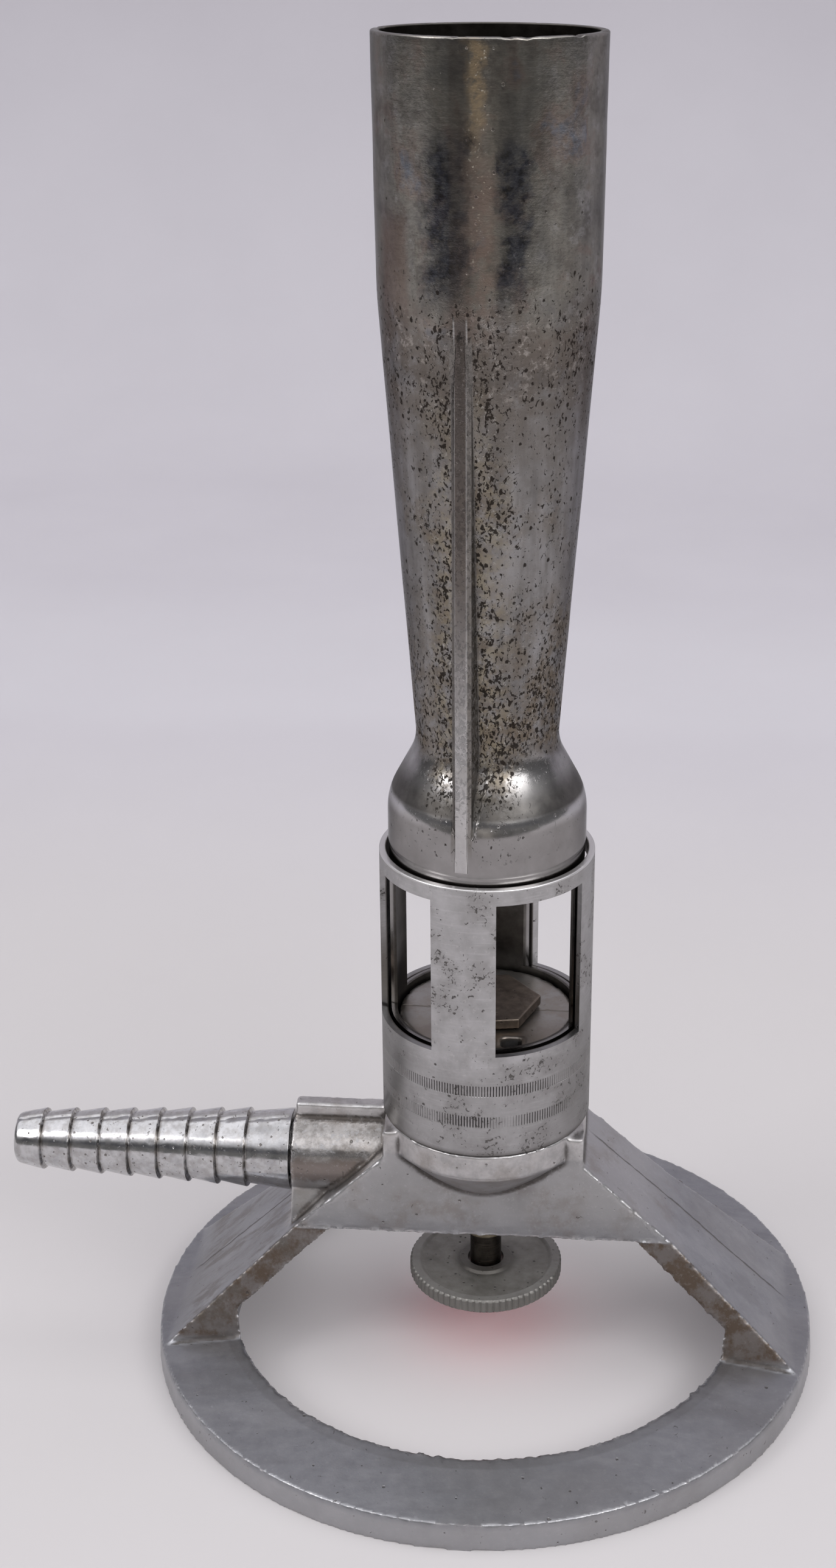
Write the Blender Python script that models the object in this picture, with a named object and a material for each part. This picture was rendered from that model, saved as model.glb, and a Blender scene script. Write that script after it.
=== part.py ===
"""A laboratory gas burner: ring-footed cast base, tapered barrel, turning air sleeve and needle valve.

Metres, +Z up. The foot rests on Z = 0, and the origin is the centre of the overall outline's lower face.
The burner's own upright axis stands at X = AXIS_X, because the hose barb reaches out along -X.
"""

import bmesh
import bpy
from math import asin, atan2, cos, pi, radians, sin, sqrt, tan
from mathutils import Matrix, Vector

MM = 0.001
CLEARANCE = 0.3 * MM
WELD_DISTANCE = 0.001 * MM

# Overall
BURNER_HEIGHT = 165.0 * MM
RING_RADIUS = 43.55 * MM
BARB_REACH = 61.9 * MM
AXIS_X = (BARB_REACH - RING_RADIUS) / 2

# Base casting: ring foot, bridge, hub and inlet boss
RING_TOP_RADIUS = 43.3 * MM
RING_EDGE_HEIGHT = 3.6 * MM
RING_HOLE_RADIUS = 33.4 * MM
RING_HOLE_EDGE_HEIGHT = 5.0 * MM
FOOT_LEVEL = 3.55 * MM
FOOT_REACH = 40.95 * MM
FOOT_HALF_WIDTH = 13.0 * MM
KNEE_LEVEL = 19.3 * MM
KNEE_REACH = 24.3 * MM
KNEE_HALF_WIDTH = 8.0 * MM
SHOULDER_LEVEL = 29.8 * MM
SHOULDER_REACH = 12.75 * MM
SHOULDER_HALF_WIDTH = 7.43 * MM
CHEEK_TOP = 33.6 * MM
ARCH_HEIGHT = 19.2 * MM
ARCH_FLAT_REACH = 19.8 * MM
ARCH_SLOPE = 0.9
COLLAR_RADIUS = 12.9 * MM
COLLAR_TOP = 34.1 * MM
COLLAR_BOTTOM = 30.6 * MM
HUB_RADIUS = 7.4 * MM
HUB_BOTTOM = 22.0 * MM
PILLAR_RADIUS = 10.95 * MM
PILLAR_TOP = 47.9 * MM
NOTCH_LOW = Vector((2.3, -9.4, 44.5)) * MM
NOTCH_HIGH = Vector((4.9, -7.0, 50.0)) * MM

# Inlet boss and hose barb
INLET_HEIGHT = 26.0 * MM
BOSS_RADIUS = 5.7 * MM
BOSS_FACE = 24.95 * MM
RIDGE_HALF_WIDTH = 1.1 * MM
RIDGE_REACH = 24.65 * MM
RIDGE_TOP = 33.5 * MM
WEB_WAIST_LEVEL = 23.6 * MM
WEB_WAIST_HALF_WIDTH = 4.9 * MM
WEB_FOOT_LEVEL = 17.5 * MM
WEB_FOOT_HALF_WIDTH = 7.4 * MM
GAS_BORE_RADIUS = 2.0 * MM
SPIGOT_RADIUS = 3.5 * MM
SPIGOT_END = 17.8 * MM
BARB_TIP_RADIUS = 3.25 * MM
BARB_TIP_ROUND = 0.8 * MM
BARB_RINGS = 8
FIRST_CREST = 58.34 * MM
CREST_PITCH = 3.875 * MM
FIRST_CREST_RADIUS = 4.02 * MM
LAST_CREST_RADIUS = 5.17 * MM
CREST_STEP = 0.48 * MM
CREST_STEP_LENGTH = 0.3 * MM
BARB_ROOT_RADIUS = 5.35 * MM

# Needle valve in the hub
PACKING_TOP = 21.6 * MM
GLAND_BORE_RADIUS = 3.2 * MM
THREAD_TOP = 23.7 * MM
STEM_RADIUS = 2.05 * MM
CHAMBER_RADIUS = 2.9 * MM
SEAT_BOTTOM = 29.0 * MM
SEAT_TOP = 30.5 * MM
RISER_RADIUS = 1.4 * MM
JET_BORE_BOTTOM = 37.0 * MM
NUT_BOTTOM = 15.2 * MM
NUT_TOP = 20.0 * MM
NUT_SLOT_WIDTH = 1.2 * MM
NUT_SLOT_DEPTH = 1.0 * MM
NEEDLE_BASE = 28.1 * MM
NEEDLE_TIP = 31.2 * MM
NEEDLE_TIP_RADIUS = 0.3 * MM
STEM_BOTTOM = 8.9 * MM
KNOB_RADIUS = 10.06 * MM
KNOB_BOTTOM = 8.56 * MM
KNOB_TOP = 10.46 * MM
KNOB_DISH = 0.35 * MM
KNOB_RIM_INNER = 8.9 * MM
KNOB_BOSS_RADIUS = 3.4 * MM
KNURL_TEETH = 72
KNURL_DEPTH = 0.22 * MM

# Gas jet
JET_THREAD_RADIUS = 4.0 * MM
JET_HEAD_ACROSS_FLATS = 12.0 * MM
JET_HEAD_BOTTOM = 48.2 * MM
JET_HEAD_TOP = 49.5 * MM
JET_HEAD_TURN = radians(9.5)
JET_BORE_TOP = 46.5 * MM
JET_ORIFICE_RADIUS = 0.6 * MM
GASKET_RADIUS = 5.0 * MM
GASKET_BOTTOM = 47.2 * MM

# Barrel: head, tapered tube, bell and windowed skirt
HEAD_RADIUS = 12.68 * MM
HEAD_LOW_RADIUS = 12.43 * MM
HEAD_BOTTOM = 138.0 * MM
NECK_RADIUS = 8.45 * MM
NECK_HEIGHT = 84.7 * MM
NECK_ROUND = 4.6 * MM
BELL_RADIUS = 12.1 * MM
BELL_TOP = 77.9 * MM
BELL_BOTTOM = 72.2 * MM
BELL_ROUND = 2.5 * MM
SKIRT_RADIUS = 12.0 * MM
SKIRT_TOP = 71.6 * MM
SKIRT_BORE_RADIUS = PILLAR_RADIUS + CLEARANCE
HEAD_BORE_RADIUS = 11.7 * MM
HEAD_BORE_LOW_RADIUS = 11.3 * MM
NECK_BORE_RADIUS = 7.1 * MM
BELL_BORE_TOP = 77.0 * MM
RIM_CHAMFER = 0.25 * MM
RIB_RADIUS = 12.3 * MM
RIB_WIDTH = 1.45 * MM
RIB_TOP = 137.0 * MM
RIB_BOTTOM = 72.4 * MM
RIB_ANGLE = radians(-10.5)

# Air sleeve and the air windows that it shares with the skirt
SLEEVE_RADIUS = 13.23 * MM
SLEEVE_BORE_RADIUS = 12.4 * MM
SLEEVE_TOP = 70.74 * MM
WINDOW_WIDTH = 12.2 * MM
WINDOW_BOTTOM = 48.4 * MM
WINDOW_TOP = 68.7 * MM
SKIRT_WINDOW_RISE = 0.2 * MM
FIRST_WINDOW_ANGLE = radians(36.1)
WINDOWS = 4

# Flame grid: a ring and crossed strips, half-lapped
GRID_TOP = 162.0 * MM
GRID_BOTTOM = 154.0 * MM
GRID_RING_WALL = 0.6 * MM
GRID_PITCH = 3.3 * MM
GRID_STRIPS = 5
STRIP_THICKNESS = 0.6 * MM

SMOOTH_ANGLE = radians(30)


def clear_scene():
    for item in list(bpy.data.objects):
        bpy.data.objects.remove(item, do_unlink=True)


def material(name, color, roughness, metallic=1.0):
    """One Principled material for one sub-part."""
    made = bpy.data.materials.new(name)
    made.use_nodes = True
    shader = made.node_tree.nodes["Principled BSDF"]
    shader.inputs["Base Color"].default_value = (*color, 1.0)
    shader.inputs["Roughness"].default_value = roughness
    shader.inputs["Metallic"].default_value = metallic
    made.diffuse_color = (*color, 1.0)
    return made


def link(name, bm):
    """Closes a bmesh into a new object whose faces point outwards."""
    bmesh.ops.recalc_face_normals(bm, faces=bm.faces)
    mesh = bpy.data.meshes.new(name)
    bm.to_mesh(mesh)
    bm.free()
    made = bpy.data.objects.new(name, mesh)
    bpy.context.collection.objects.link(made)
    return made


def turned(name, outline, segments=48, tooth_depth=0.0):
    """Sweeps a (radius, height) outline round Z.

    An outline that starts and ends on the axis closes there; any other is the section of a ring.
    With tooth_depth, every second point of the widest edge is cut back, which knurls the rim.
    """
    bm = bmesh.new()
    widest = max(radius for radius, _ in outline)
    rings = []
    for radius, height in outline:
        if radius == 0:
            rings.append([bm.verts.new((0, 0, height))] * segments)
            continue
        ring = []
        for step in range(segments):
            cut = tooth_depth if step % 2 and radius == widest else 0.0
            angle = 2 * pi * step / segments
            ring.append(bm.verts.new(((radius - cut) * cos(angle), (radius - cut) * sin(angle), height)))
        rings.append(ring)
    pairs = list(zip(rings, rings[1:]))
    if outline[0][0] != 0:
        pairs.append((rings[-1], rings[0]))
    for upper, lower in pairs:
        for step in range(segments):
            after = (step + 1) % segments
            corners = [upper[step], upper[after], lower[after], lower[step]]
            bm.faces.new(list(dict.fromkeys(corners)))
    return link(name, bm)


def prism(name, outline, depth, to_world):
    """Extrudes a flat (u, v) outline by depth, centred on its plane; to_world maps (u, v, w) to a point."""
    bm = bmesh.new()
    near = [bm.verts.new(to_world(u, v, -depth / 2)) for u, v in outline]
    far = [bm.verts.new(to_world(u, v, depth / 2)) for u, v in outline]
    bm.faces.new(near)
    bm.faces.new(list(reversed(far)))
    for index in range(len(outline)):
        after = (index + 1) % len(outline)
        bm.faces.new((near[index], near[after], far[after], far[index]))
    return link(name, bm)


def block(name, low, high):
    outline = [(low[0], low[1]), (high[0], low[1]), (high[0], high[1]), (low[0], high[1])]
    middle = (low[2] + high[2]) / 2
    return prism(name, outline, high[2] - low[2], lambda u, v, w: (u, v, middle + w))


def stack_of_rectangles(name, levels):
    """A solid between rectangles given as (height, low x, high x, half width)."""
    bm = bmesh.new()
    rings = []
    for height, low, high, half in levels:
        corners = ((low, -half), (high, -half), (high, half), (low, half))
        rings.append([bm.verts.new((x, y, height)) for x, y in corners])
    bm.faces.new(rings[0])
    bm.faces.new(list(reversed(rings[-1])))
    for lower, upper in zip(rings, rings[1:]):
        for side in range(4):
            after = (side + 1) % 4
            bm.faces.new((lower[side], lower[after], upper[after], upper[side]))
    return link(name, bm)


def weld(mesh):
    """Merges the points that a boolean leaves less than WELD_DISTANCE apart."""
    bm = bmesh.new()
    bm.from_mesh(mesh)
    bmesh.ops.remove_doubles(bm, verts=bm.verts, dist=WELD_DISTANCE)
    bmesh.ops.dissolve_degenerate(bm, edges=bm.edges, dist=WELD_DISTANCE)
    bm.to_mesh(mesh)
    bm.free()


def combine(target, operation, tools):
    """Joins or cuts target with each tool, and drops the tools."""
    for tool in tools:
        modifier = target.modifiers.new(operation.title(), "BOOLEAN")
        modifier.operation = operation
        modifier.solver = "EXACT"
        modifier.object = tool
        bpy.context.view_layer.update()
        evaluated = target.evaluated_get(bpy.context.evaluated_depsgraph_get())
        result = bpy.data.meshes.new_from_object(evaluated)
        weld(result)
        target.modifiers.clear()
        target.data = result
        bpy.data.objects.remove(tool, do_unlink=True)
    return target


def lay_along_minus_x(made, height):
    """Turns a piece made along +Z so that it points along -X at the given height."""
    made.data.transform(Matrix.Translation((0, 0, height)) @ Matrix.Rotation(-pi / 2, 4, "Y"))
    return made


def finish(made, finish_material, location=(AXIS_X, 0, 0)):
    """Sets a piece on the burner's axis, with its material and smooth round faces."""
    made.location = location
    made.data.name = made.name
    made.data.materials.clear()
    made.data.materials.append(finish_material)
    made.data.shade_smooth()
    made.data.set_sharp_from_angle(angle=SMOOTH_ANGLE)
    return made


def arc_corner(before, corner, after, radius, steps=4):
    """The points of a round of the given radius that replaces an outline's corner."""
    corner = Vector(corner)
    into = (Vector(before) - corner).normalized()
    out = (Vector(after) - corner).normalized()
    half = into.angle(out) / 2
    reach = radius / tan(half)
    centre = corner + (into + out).normalized() * (radius / sin(half))
    start = corner + into * reach - centre
    end = corner + out * reach - centre
    turn = start.angle_signed(end)
    points = []
    for step in range(steps + 1):
        angle = -turn * step / steps
        spoke = Matrix.Rotation(angle, 2) @ start
        points.append(tuple(centre + spoke))
    return points


def along_bearing(angle):
    """Maps (u outward, v up, w sideways) at a bearing counted from -Y towards +X."""
    outward = Vector((sin(angle), -cos(angle), 0))
    sideways = Vector((cos(angle), sin(angle), 0))
    return lambda u, v, w: outward * u + sideways * w + Vector((0, 0, v))


def window_cutters(bottom, top):
    """Four upright windows pierced straight through one wall each."""
    outline = [(7 * MM, bottom), (16 * MM, bottom), (16 * MM, top), (7 * MM, top)]
    cutters = []
    for index in range(WINDOWS):
        bearing = FIRST_WINDOW_ANGLE + index * 2 * pi / WINDOWS
        cutters.append(prism("window", outline, WINDOW_WIDTH, along_bearing(bearing)))
    return cutters


def ring_foot():
    """The ring foot as a solid disc, whose hole the arch core cuts later."""
    rise = (RING_HOLE_EDGE_HEIGHT - RING_EDGE_HEIGHT) / (RING_TOP_RADIUS - RING_HOLE_RADIUS)
    inner = RING_HOLE_RADIUS - 1.0 * MM
    inner_height = RING_EDGE_HEIGHT + rise * (RING_TOP_RADIUS - inner)
    outline = [(0, inner_height), (inner, inner_height), (RING_TOP_RADIUS, RING_EDGE_HEIGHT)]
    outline += [(RING_RADIUS, 0), (0, 0)]
    return turned("base_casting", outline, segments=96)


def bridge():
    """The two arms and the plates between them, narrow at the hub and flared at the foot."""
    levels = [
        (FOOT_LEVEL, -FOOT_REACH, FOOT_REACH, FOOT_HALF_WIDTH),
        (KNEE_LEVEL, -KNEE_REACH, KNEE_REACH, KNEE_HALF_WIDTH),
        (SHOULDER_LEVEL, -SHOULDER_REACH, SHOULDER_REACH, SHOULDER_HALF_WIDTH),
        (CHEEK_TOP, -SHOULDER_REACH, SHOULDER_REACH, SHOULDER_HALF_WIDTH - 0.05 * MM),
    ]
    return stack_of_rectangles("bridge", levels)


def hub():
    """The pillar inside the skirt, the collar under the sleeve and the cone below the collar."""
    cone_bottom = COLLAR_BOTTOM - (COLLAR_RADIUS - HUB_RADIUS)
    outline = [(0, PILLAR_TOP), (PILLAR_RADIUS, PILLAR_TOP), (PILLAR_RADIUS, COLLAR_TOP)]
    outline += [(COLLAR_RADIUS, COLLAR_TOP), (COLLAR_RADIUS, COLLAR_BOTTOM), (HUB_RADIUS, cone_bottom)]
    outline += [(HUB_RADIUS, HUB_BOTTOM), (0, HUB_BOTTOM)]
    return turned("hub", outline, segments=64)


def inlet_boss():
    """The gas inlet: a round boss, the ridge on top of it and the web that stands on the arm."""
    root = 6.0 * MM
    cylinder = turned("boss", [(0, BOSS_FACE), (BOSS_RADIUS, BOSS_FACE), (BOSS_RADIUS, root), (0, root)], 32)
    lay_along_minus_x(cylinder, INLET_HEIGHT)
    ridge_low = INLET_HEIGHT + 1.0 * MM
    ridge = block("ridge", (-RIDGE_REACH, -RIDGE_HALF_WIDTH, ridge_low), (-root, RIDGE_HALF_WIDTH, RIDGE_TOP))
    levels = [
        (WEB_FOOT_LEVEL, -BOSS_FACE, -root, WEB_FOOT_HALF_WIDTH),
        (WEB_WAIST_LEVEL, -BOSS_FACE, -root, WEB_WAIST_HALF_WIDTH),
        (INLET_HEIGHT, -BOSS_FACE, -root, WEB_WAIST_HALF_WIDTH - 0.2 * MM),
    ]
    return [cylinder, ridge, stack_of_rectangles("web", levels)]


def arch_core():
    """What is open under the bridge: the ring's round hole with a roof that follows the arms."""
    reach = RING_HOLE_RADIUS + 1.0 * MM
    eaves = ARCH_HEIGHT - ARCH_SLOPE * (reach - ARCH_FLAT_REACH)
    below = -1.0 * MM
    outline = [(-reach, below), (reach, below), (reach, eaves), (ARCH_FLAT_REACH, ARCH_HEIGHT)]
    outline += [(-ARCH_FLAT_REACH, ARCH_HEIGHT), (-reach, eaves)]
    roof = prism("roof", outline, 2 * reach, lambda u, v, w: (u, w, v))
    tall = ARCH_HEIGHT + 5.0 * MM
    hole = [(0, tall), (RING_HOLE_RADIUS, tall), (RING_HOLE_RADIUS, 2 * below), (0, 2 * below)]
    return combine(turned("core", hole, segments=96), "INTERSECT", [roof])


def valve_bore():
    """The upright bore: gland, stem thread, gas chamber, valve seat, riser, jet thread and gasket seat."""
    below = ARCH_HEIGHT - 2.0 * MM
    above = PILLAR_TOP + 2.0 * MM
    jet_bore = JET_THREAD_RADIUS + CLEARANCE
    gasket_bore = GASKET_RADIUS + CLEARANCE
    gasket_floor = GASKET_BOTTOM - CLEARANCE
    stem_bore = STEM_RADIUS + CLEARANCE
    outline = [(0, above), (gasket_bore, above), (gasket_bore, gasket_floor), (jet_bore, gasket_floor)]
    outline += [(jet_bore, JET_BORE_BOTTOM), (RISER_RADIUS, JET_BORE_BOTTOM), (RISER_RADIUS, SEAT_TOP)]
    outline += [(CHAMBER_RADIUS, SEAT_BOTTOM), (CHAMBER_RADIUS, THREAD_TOP), (stem_bore, THREAD_TOP)]
    outline += [(stem_bore, PACKING_TOP), (GLAND_BORE_RADIUS, PACKING_TOP), (GLAND_BORE_RADIUS, below)]
    outline += [(0, below)]
    return turned("valve_bore", outline, segments=32)


def inlet_bore():
    """The level bore: the spigot's socket and the gas way to the chamber under the seat."""
    socket = SPIGOT_RADIUS + CLEARANCE
    socket_end = SPIGOT_END - CLEARANCE
    mouth = BOSS_FACE + 1.0 * MM
    outline = [(0, mouth), (socket, mouth), (socket, socket_end), (GAS_BORE_RADIUS, socket_end)]
    outline += [(GAS_BORE_RADIUS, 0.5 * MM), (0, 0.5 * MM)]
    return lay_along_minus_x(turned("inlet_bore", outline, segments=24), INLET_HEIGHT)


def base_casting():
    zinc = material("die_cast_zinc", (0.36, 0.37, 0.39), 0.45)
    casting = combine(ring_foot(), "UNION", [bridge(), hub()] + inlet_boss())
    notch = block("notch", NOTCH_LOW, NOTCH_HIGH)
    combine(casting, "DIFFERENCE", [arch_core(), valve_bore(), inlet_bore(), notch])
    return finish(casting, zinc)


def hose_barb():
    """The serrated hose connector, turned about its own level axis, with a spigot in the boss."""
    root = BOSS_FACE + CLEARANCE
    tip = (BARB_TIP_RADIUS, BARB_REACH)
    first = (FIRST_CREST_RADIUS, FIRST_CREST)
    outline = [(GAS_BORE_RADIUS, BARB_REACH)]
    outline += arc_corner((0, BARB_REACH), tip, first, BARB_TIP_ROUND, steps=3)
    growth = (LAST_CREST_RADIUS - FIRST_CREST_RADIUS) / (BARB_RINGS - 1)
    for index in range(BARB_RINGS):
        crest = FIRST_CREST - index * CREST_PITCH
        radius = FIRST_CREST_RADIUS + index * growth
        outline += [(radius, crest), (radius - 0.08 * MM, crest - 0.12 * MM)]
        outline += [(radius - CREST_STEP, crest - CREST_STEP_LENGTH)]
    outline += [(BARB_ROOT_RADIUS, root), (SPIGOT_RADIUS, root), (SPIGOT_RADIUS, SPIGOT_END)]
    outline += [(GAS_BORE_RADIUS, SPIGOT_END)]
    plated = material("plated_barb", (0.62, 0.62, 0.63), 0.18)
    barb = lay_along_minus_x(turned("hose_barb", outline, segments=32), 0)
    return finish(barb, plated, (AXIS_X, 0, INLET_HEIGHT))


def barrel_outline():
    shoulder = (BELL_RADIUS, BELL_TOP)
    outer = [(HEAD_RADIUS - RIM_CHAMFER, BURNER_HEIGHT), (HEAD_RADIUS, BURNER_HEIGHT - RIM_CHAMFER)]
    outer.append((HEAD_LOW_RADIUS, HEAD_BOTTOM))
    outer += arc_corner((HEAD_LOW_RADIUS, HEAD_BOTTOM), (NECK_RADIUS, NECK_HEIGHT), shoulder, NECK_ROUND, 3)
    outer += arc_corner((NECK_RADIUS, NECK_HEIGHT), shoulder, (BELL_RADIUS, BELL_BOTTOM), BELL_ROUND)
    outer += [(BELL_RADIUS, BELL_BOTTOM), (SKIRT_RADIUS, SKIRT_TOP), (SKIRT_RADIUS, COLLAR_TOP + CLEARANCE)]
    inner = [(SKIRT_BORE_RADIUS, COLLAR_TOP + CLEARANCE), (SKIRT_BORE_RADIUS, SKIRT_TOP)]
    inner += [(SKIRT_BORE_RADIUS - 0.3 * MM, BELL_BORE_TOP), (NECK_BORE_RADIUS, NECK_HEIGHT)]
    inner += [(HEAD_BORE_LOW_RADIUS, HEAD_BOTTOM), (HEAD_BORE_RADIUS, BURNER_HEIGHT)]
    return outer + inner


def rib(bearing):
    """A moulding rib that fills the waist out to one radius, rooted inside the barrel's wall."""
    wall = 0.6 * MM
    outline = [(HEAD_LOW_RADIUS - wall, RIB_TOP), (RIB_RADIUS, RIB_TOP - 1.0 * MM), (RIB_RADIUS, RIB_BOTTOM)]
    outline += [(BELL_RADIUS - wall, RIB_BOTTOM), (BELL_RADIUS - wall, BELL_TOP - 1.6 * MM)]
    outline += [(NECK_RADIUS - wall, NECK_HEIGHT)]
    return prism("rib", outline, RIB_WIDTH, along_bearing(bearing))


def barrel():
    """One casting from rim to skirt, with two moulding ribs and four air windows in the skirt."""
    metal = material("barrel_metal", (0.40, 0.39, 0.38), 0.38)
    made = turned("barrel", barrel_outline(), segments=64)
    combine(made, "UNION", [rib(RIB_ANGLE), rib(RIB_ANGLE + pi)])
    combine(made, "DIFFERENCE", window_cutters(WINDOW_BOTTOM + SKIRT_WINDOW_RISE, WINDOW_TOP + SKIRT_WINDOW_RISE))
    return finish(made, metal)


def air_sleeve():
    """The turning sleeve that opens and closes the air windows."""
    satin = material("satin_sleeve", (0.55, 0.55, 0.56), 0.35)
    bottom = COLLAR_TOP + CLEARANCE
    outline = [(SLEEVE_BORE_RADIUS, SLEEVE_TOP), (SLEEVE_RADIUS - 0.15 * MM, SLEEVE_TOP)]
    outline += [(SLEEVE_RADIUS, SLEEVE_TOP - 0.15 * MM), (SLEEVE_RADIUS, bottom + 0.15 * MM)]
    outline += [(SLEEVE_RADIUS - 0.15 * MM, bottom), (SLEEVE_BORE_RADIUS, bottom)]
    made = turned("air_sleeve", outline, segments=72)
    combine(made, "DIFFERENCE", window_cutters(WINDOW_BOTTOM, WINDOW_TOP))
    return finish(made, satin)


def gas_jet():
    """The jet screwed down into the pillar: hexagon head, threaded shank, gas way and orifice."""
    brass = material("jet_brass", (0.30, 0.25, 0.20), 0.5)
    corner_radius = JET_HEAD_ACROSS_FLATS / sqrt(3)
    corners = [(corner_radius * cos(JET_HEAD_TURN + index * pi / 3),
                corner_radius * sin(JET_HEAD_TURN + index * pi / 3)) for index in range(6)]
    middle = (JET_HEAD_BOTTOM + JET_HEAD_TOP) / 2
    head = prism("gas_jet", corners, JET_HEAD_TOP - JET_HEAD_BOTTOM, lambda u, v, w: (u, v, middle + w))
    shank_top = JET_HEAD_BOTTOM + 0.5 * MM
    shank_bottom = JET_BORE_BOTTOM + CLEARANCE
    shank_outline = [(0, shank_top), (JET_THREAD_RADIUS, shank_top), (JET_THREAD_RADIUS, shank_bottom)]
    shank_outline += [(0, shank_bottom)]
    above = JET_HEAD_TOP + 1.0 * MM
    below = shank_bottom - 1.0 * MM
    way_outline = [(0, above), (JET_ORIFICE_RADIUS, above), (JET_ORIFICE_RADIUS, JET_BORE_TOP)]
    way_outline += [(GAS_BORE_RADIUS, JET_BORE_TOP - 1.2 * MM), (GAS_BORE_RADIUS, below), (0, below)]
    combine(head, "UNION", [turned("shank", shank_outline, 32)])
    combine(head, "DIFFERENCE", [turned("way", way_outline, 24)])
    return finish(head, brass)


def ring_between(name, inner, outer, bottom, top, segments=32):
    return turned(name, [(inner, top), (outer, top), (outer, bottom), (inner, bottom)], segments)


def jet_gasket():
    fibre = material("gasket_fibre", (0.25, 0.10, 0.06), 0.8, 0.0)
    inner = JET_THREAD_RADIUS + CLEARANCE
    top = JET_HEAD_BOTTOM - CLEARANCE
    return finish(ring_between("jet_gasket", inner, GASKET_RADIUS, GASKET_BOTTOM, top), fibre)


def valve_stem():
    """The needle spindle: knob end, threaded shaft and the cone that closes the seat."""
    steel = material("stem_steel", (0.12, 0.11, 0.10), 0.45)
    outline = [(0, NEEDLE_TIP), (NEEDLE_TIP_RADIUS, NEEDLE_TIP), (STEM_RADIUS, NEEDLE_BASE)]
    outline += [(STEM_RADIUS, STEM_BOTTOM), (0, STEM_BOTTOM)]
    return finish(turned("valve_stem", outline, segments=24), steel)


def valve_knob():
    """The knurled disc that turns the spindle, with a raised rim and a shallow dish on top."""
    zinc = material("knob_zinc", (0.26, 0.26, 0.25), 0.5)
    bore = STEM_RADIUS + CLEARANCE
    dish = KNOB_TOP - KNOB_DISH
    edge = 0.2 * MM
    outline = [(bore, KNOB_TOP), (KNOB_BOSS_RADIUS, KNOB_TOP), (KNOB_BOSS_RADIUS + 0.4 * MM, dish)]
    outline += [(KNOB_RIM_INNER - 0.4 * MM, dish), (KNOB_RIM_INNER, KNOB_TOP)]
    outline += [(KNOB_RADIUS - 0.4 * MM, KNOB_TOP), (KNOB_RADIUS, KNOB_TOP - edge)]
    outline += [(KNOB_RADIUS, KNOB_BOTTOM + edge), (KNOB_RADIUS - 0.4 * MM, KNOB_BOTTOM), (bore, KNOB_BOTTOM)]
    made = turned("valve_knob", outline, segments=2 * KNURL_TEETH, tooth_depth=KNURL_DEPTH)
    return finish(made, zinc)


def packing_nut():
    """The gland nut under the hub, slotted across its lower face for a key."""
    brass = material("nut_brass", (0.45, 0.42, 0.36), 0.45)
    inner = STEM_RADIUS + CLEARANCE
    made = ring_between("packing_nut", inner, GLAND_BORE_RADIUS - CLEARANCE, NUT_BOTTOM, NUT_TOP)
    low = (-5 * MM, -NUT_SLOT_WIDTH / 2, NUT_BOTTOM - 1.0 * MM)
    high = (5 * MM, NUT_SLOT_WIDTH / 2, NUT_BOTTOM + NUT_SLOT_DEPTH)
    combine(made, "DIFFERENCE", [block("slot", low, high)])
    return finish(made, brass)


def stem_packing():
    graphite = material("packing_graphite", (0.05, 0.05, 0.05), 0.7, 0.0)
    inner = STEM_RADIUS + CLEARANCE
    outer = GLAND_BORE_RADIUS - CLEARANCE
    bottom = NUT_TOP + CLEARANCE
    return finish(ring_between("stem_packing", inner, outer, bottom, PACKING_TOP - CLEARANCE), graphite)


def head_bore_radius(height):
    """The barrel's bore at a height within the head."""
    share = (height - HEAD_BOTTOM) / (BURNER_HEIGHT - HEAD_BOTTOM)
    return HEAD_BORE_LOW_RADIUS + share * (HEAD_BORE_RADIUS - HEAD_BORE_LOW_RADIUS)


def grid_ring(nickel):
    """The band that holds the crossed strips in the barrel's head."""
    outer = head_bore_radius(GRID_BOTTOM) - CLEARANCE
    made = ring_between("grid_ring", outer - GRID_RING_WALL, outer, GRID_BOTTOM, GRID_TOP, 48)
    return finish(made, nickel)


def strip_outline(half_length, notch_positions, notch_from_top):
    """A strip's side view, with half-depth slots where the strips of the other set cross it."""
    half_slot = STRIP_THICKNESS / 2 + CLEARANCE
    slot_end = (GRID_TOP + GRID_BOTTOM) / 2 - (CLEARANCE / 2 if notch_from_top else -CLEARANCE / 2)
    open_edge = GRID_TOP if notch_from_top else GRID_BOTTOM
    plain_edge = GRID_BOTTOM if notch_from_top else GRID_TOP
    outline = [(half_length, plain_edge), (-half_length, plain_edge), (-half_length, open_edge)]
    for place in notch_positions:
        left, right = place - half_slot, place + half_slot
        outline += [(left, open_edge), (left, slot_end), (right, slot_end), (right, open_edge)]
    outline.append((half_length, open_edge))
    return outline


def grid_strips(nickel):
    """Two sets of upright strips at right angles, slotted half-way into each other."""
    inner = head_bore_radius(GRID_BOTTOM) - CLEARANCE - GRID_RING_WALL
    places = [(index - (GRID_STRIPS - 1) / 2) * GRID_PITCH for index in range(GRID_STRIPS)]
    for number, place in enumerate(places, start=1):
        half_length = sqrt(inner ** 2 - (abs(place) + STRIP_THICKNESS / 2) ** 2) - CLEARANCE
        crossings = [other for other in places if abs(other) < half_length - STRIP_THICKNESS]
        across = prism(f"grid_strip_x{number}", strip_outline(half_length, crossings, True),
                       STRIP_THICKNESS, lambda u, v, w, y=place: (u, y + w, v))
        along = prism(f"grid_strip_y{number}", strip_outline(half_length, crossings, False),
                      STRIP_THICKNESS, lambda u, v, w, x=place: (x + w, u, v))
        finish(across, nickel)
        finish(along, nickel)


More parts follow.
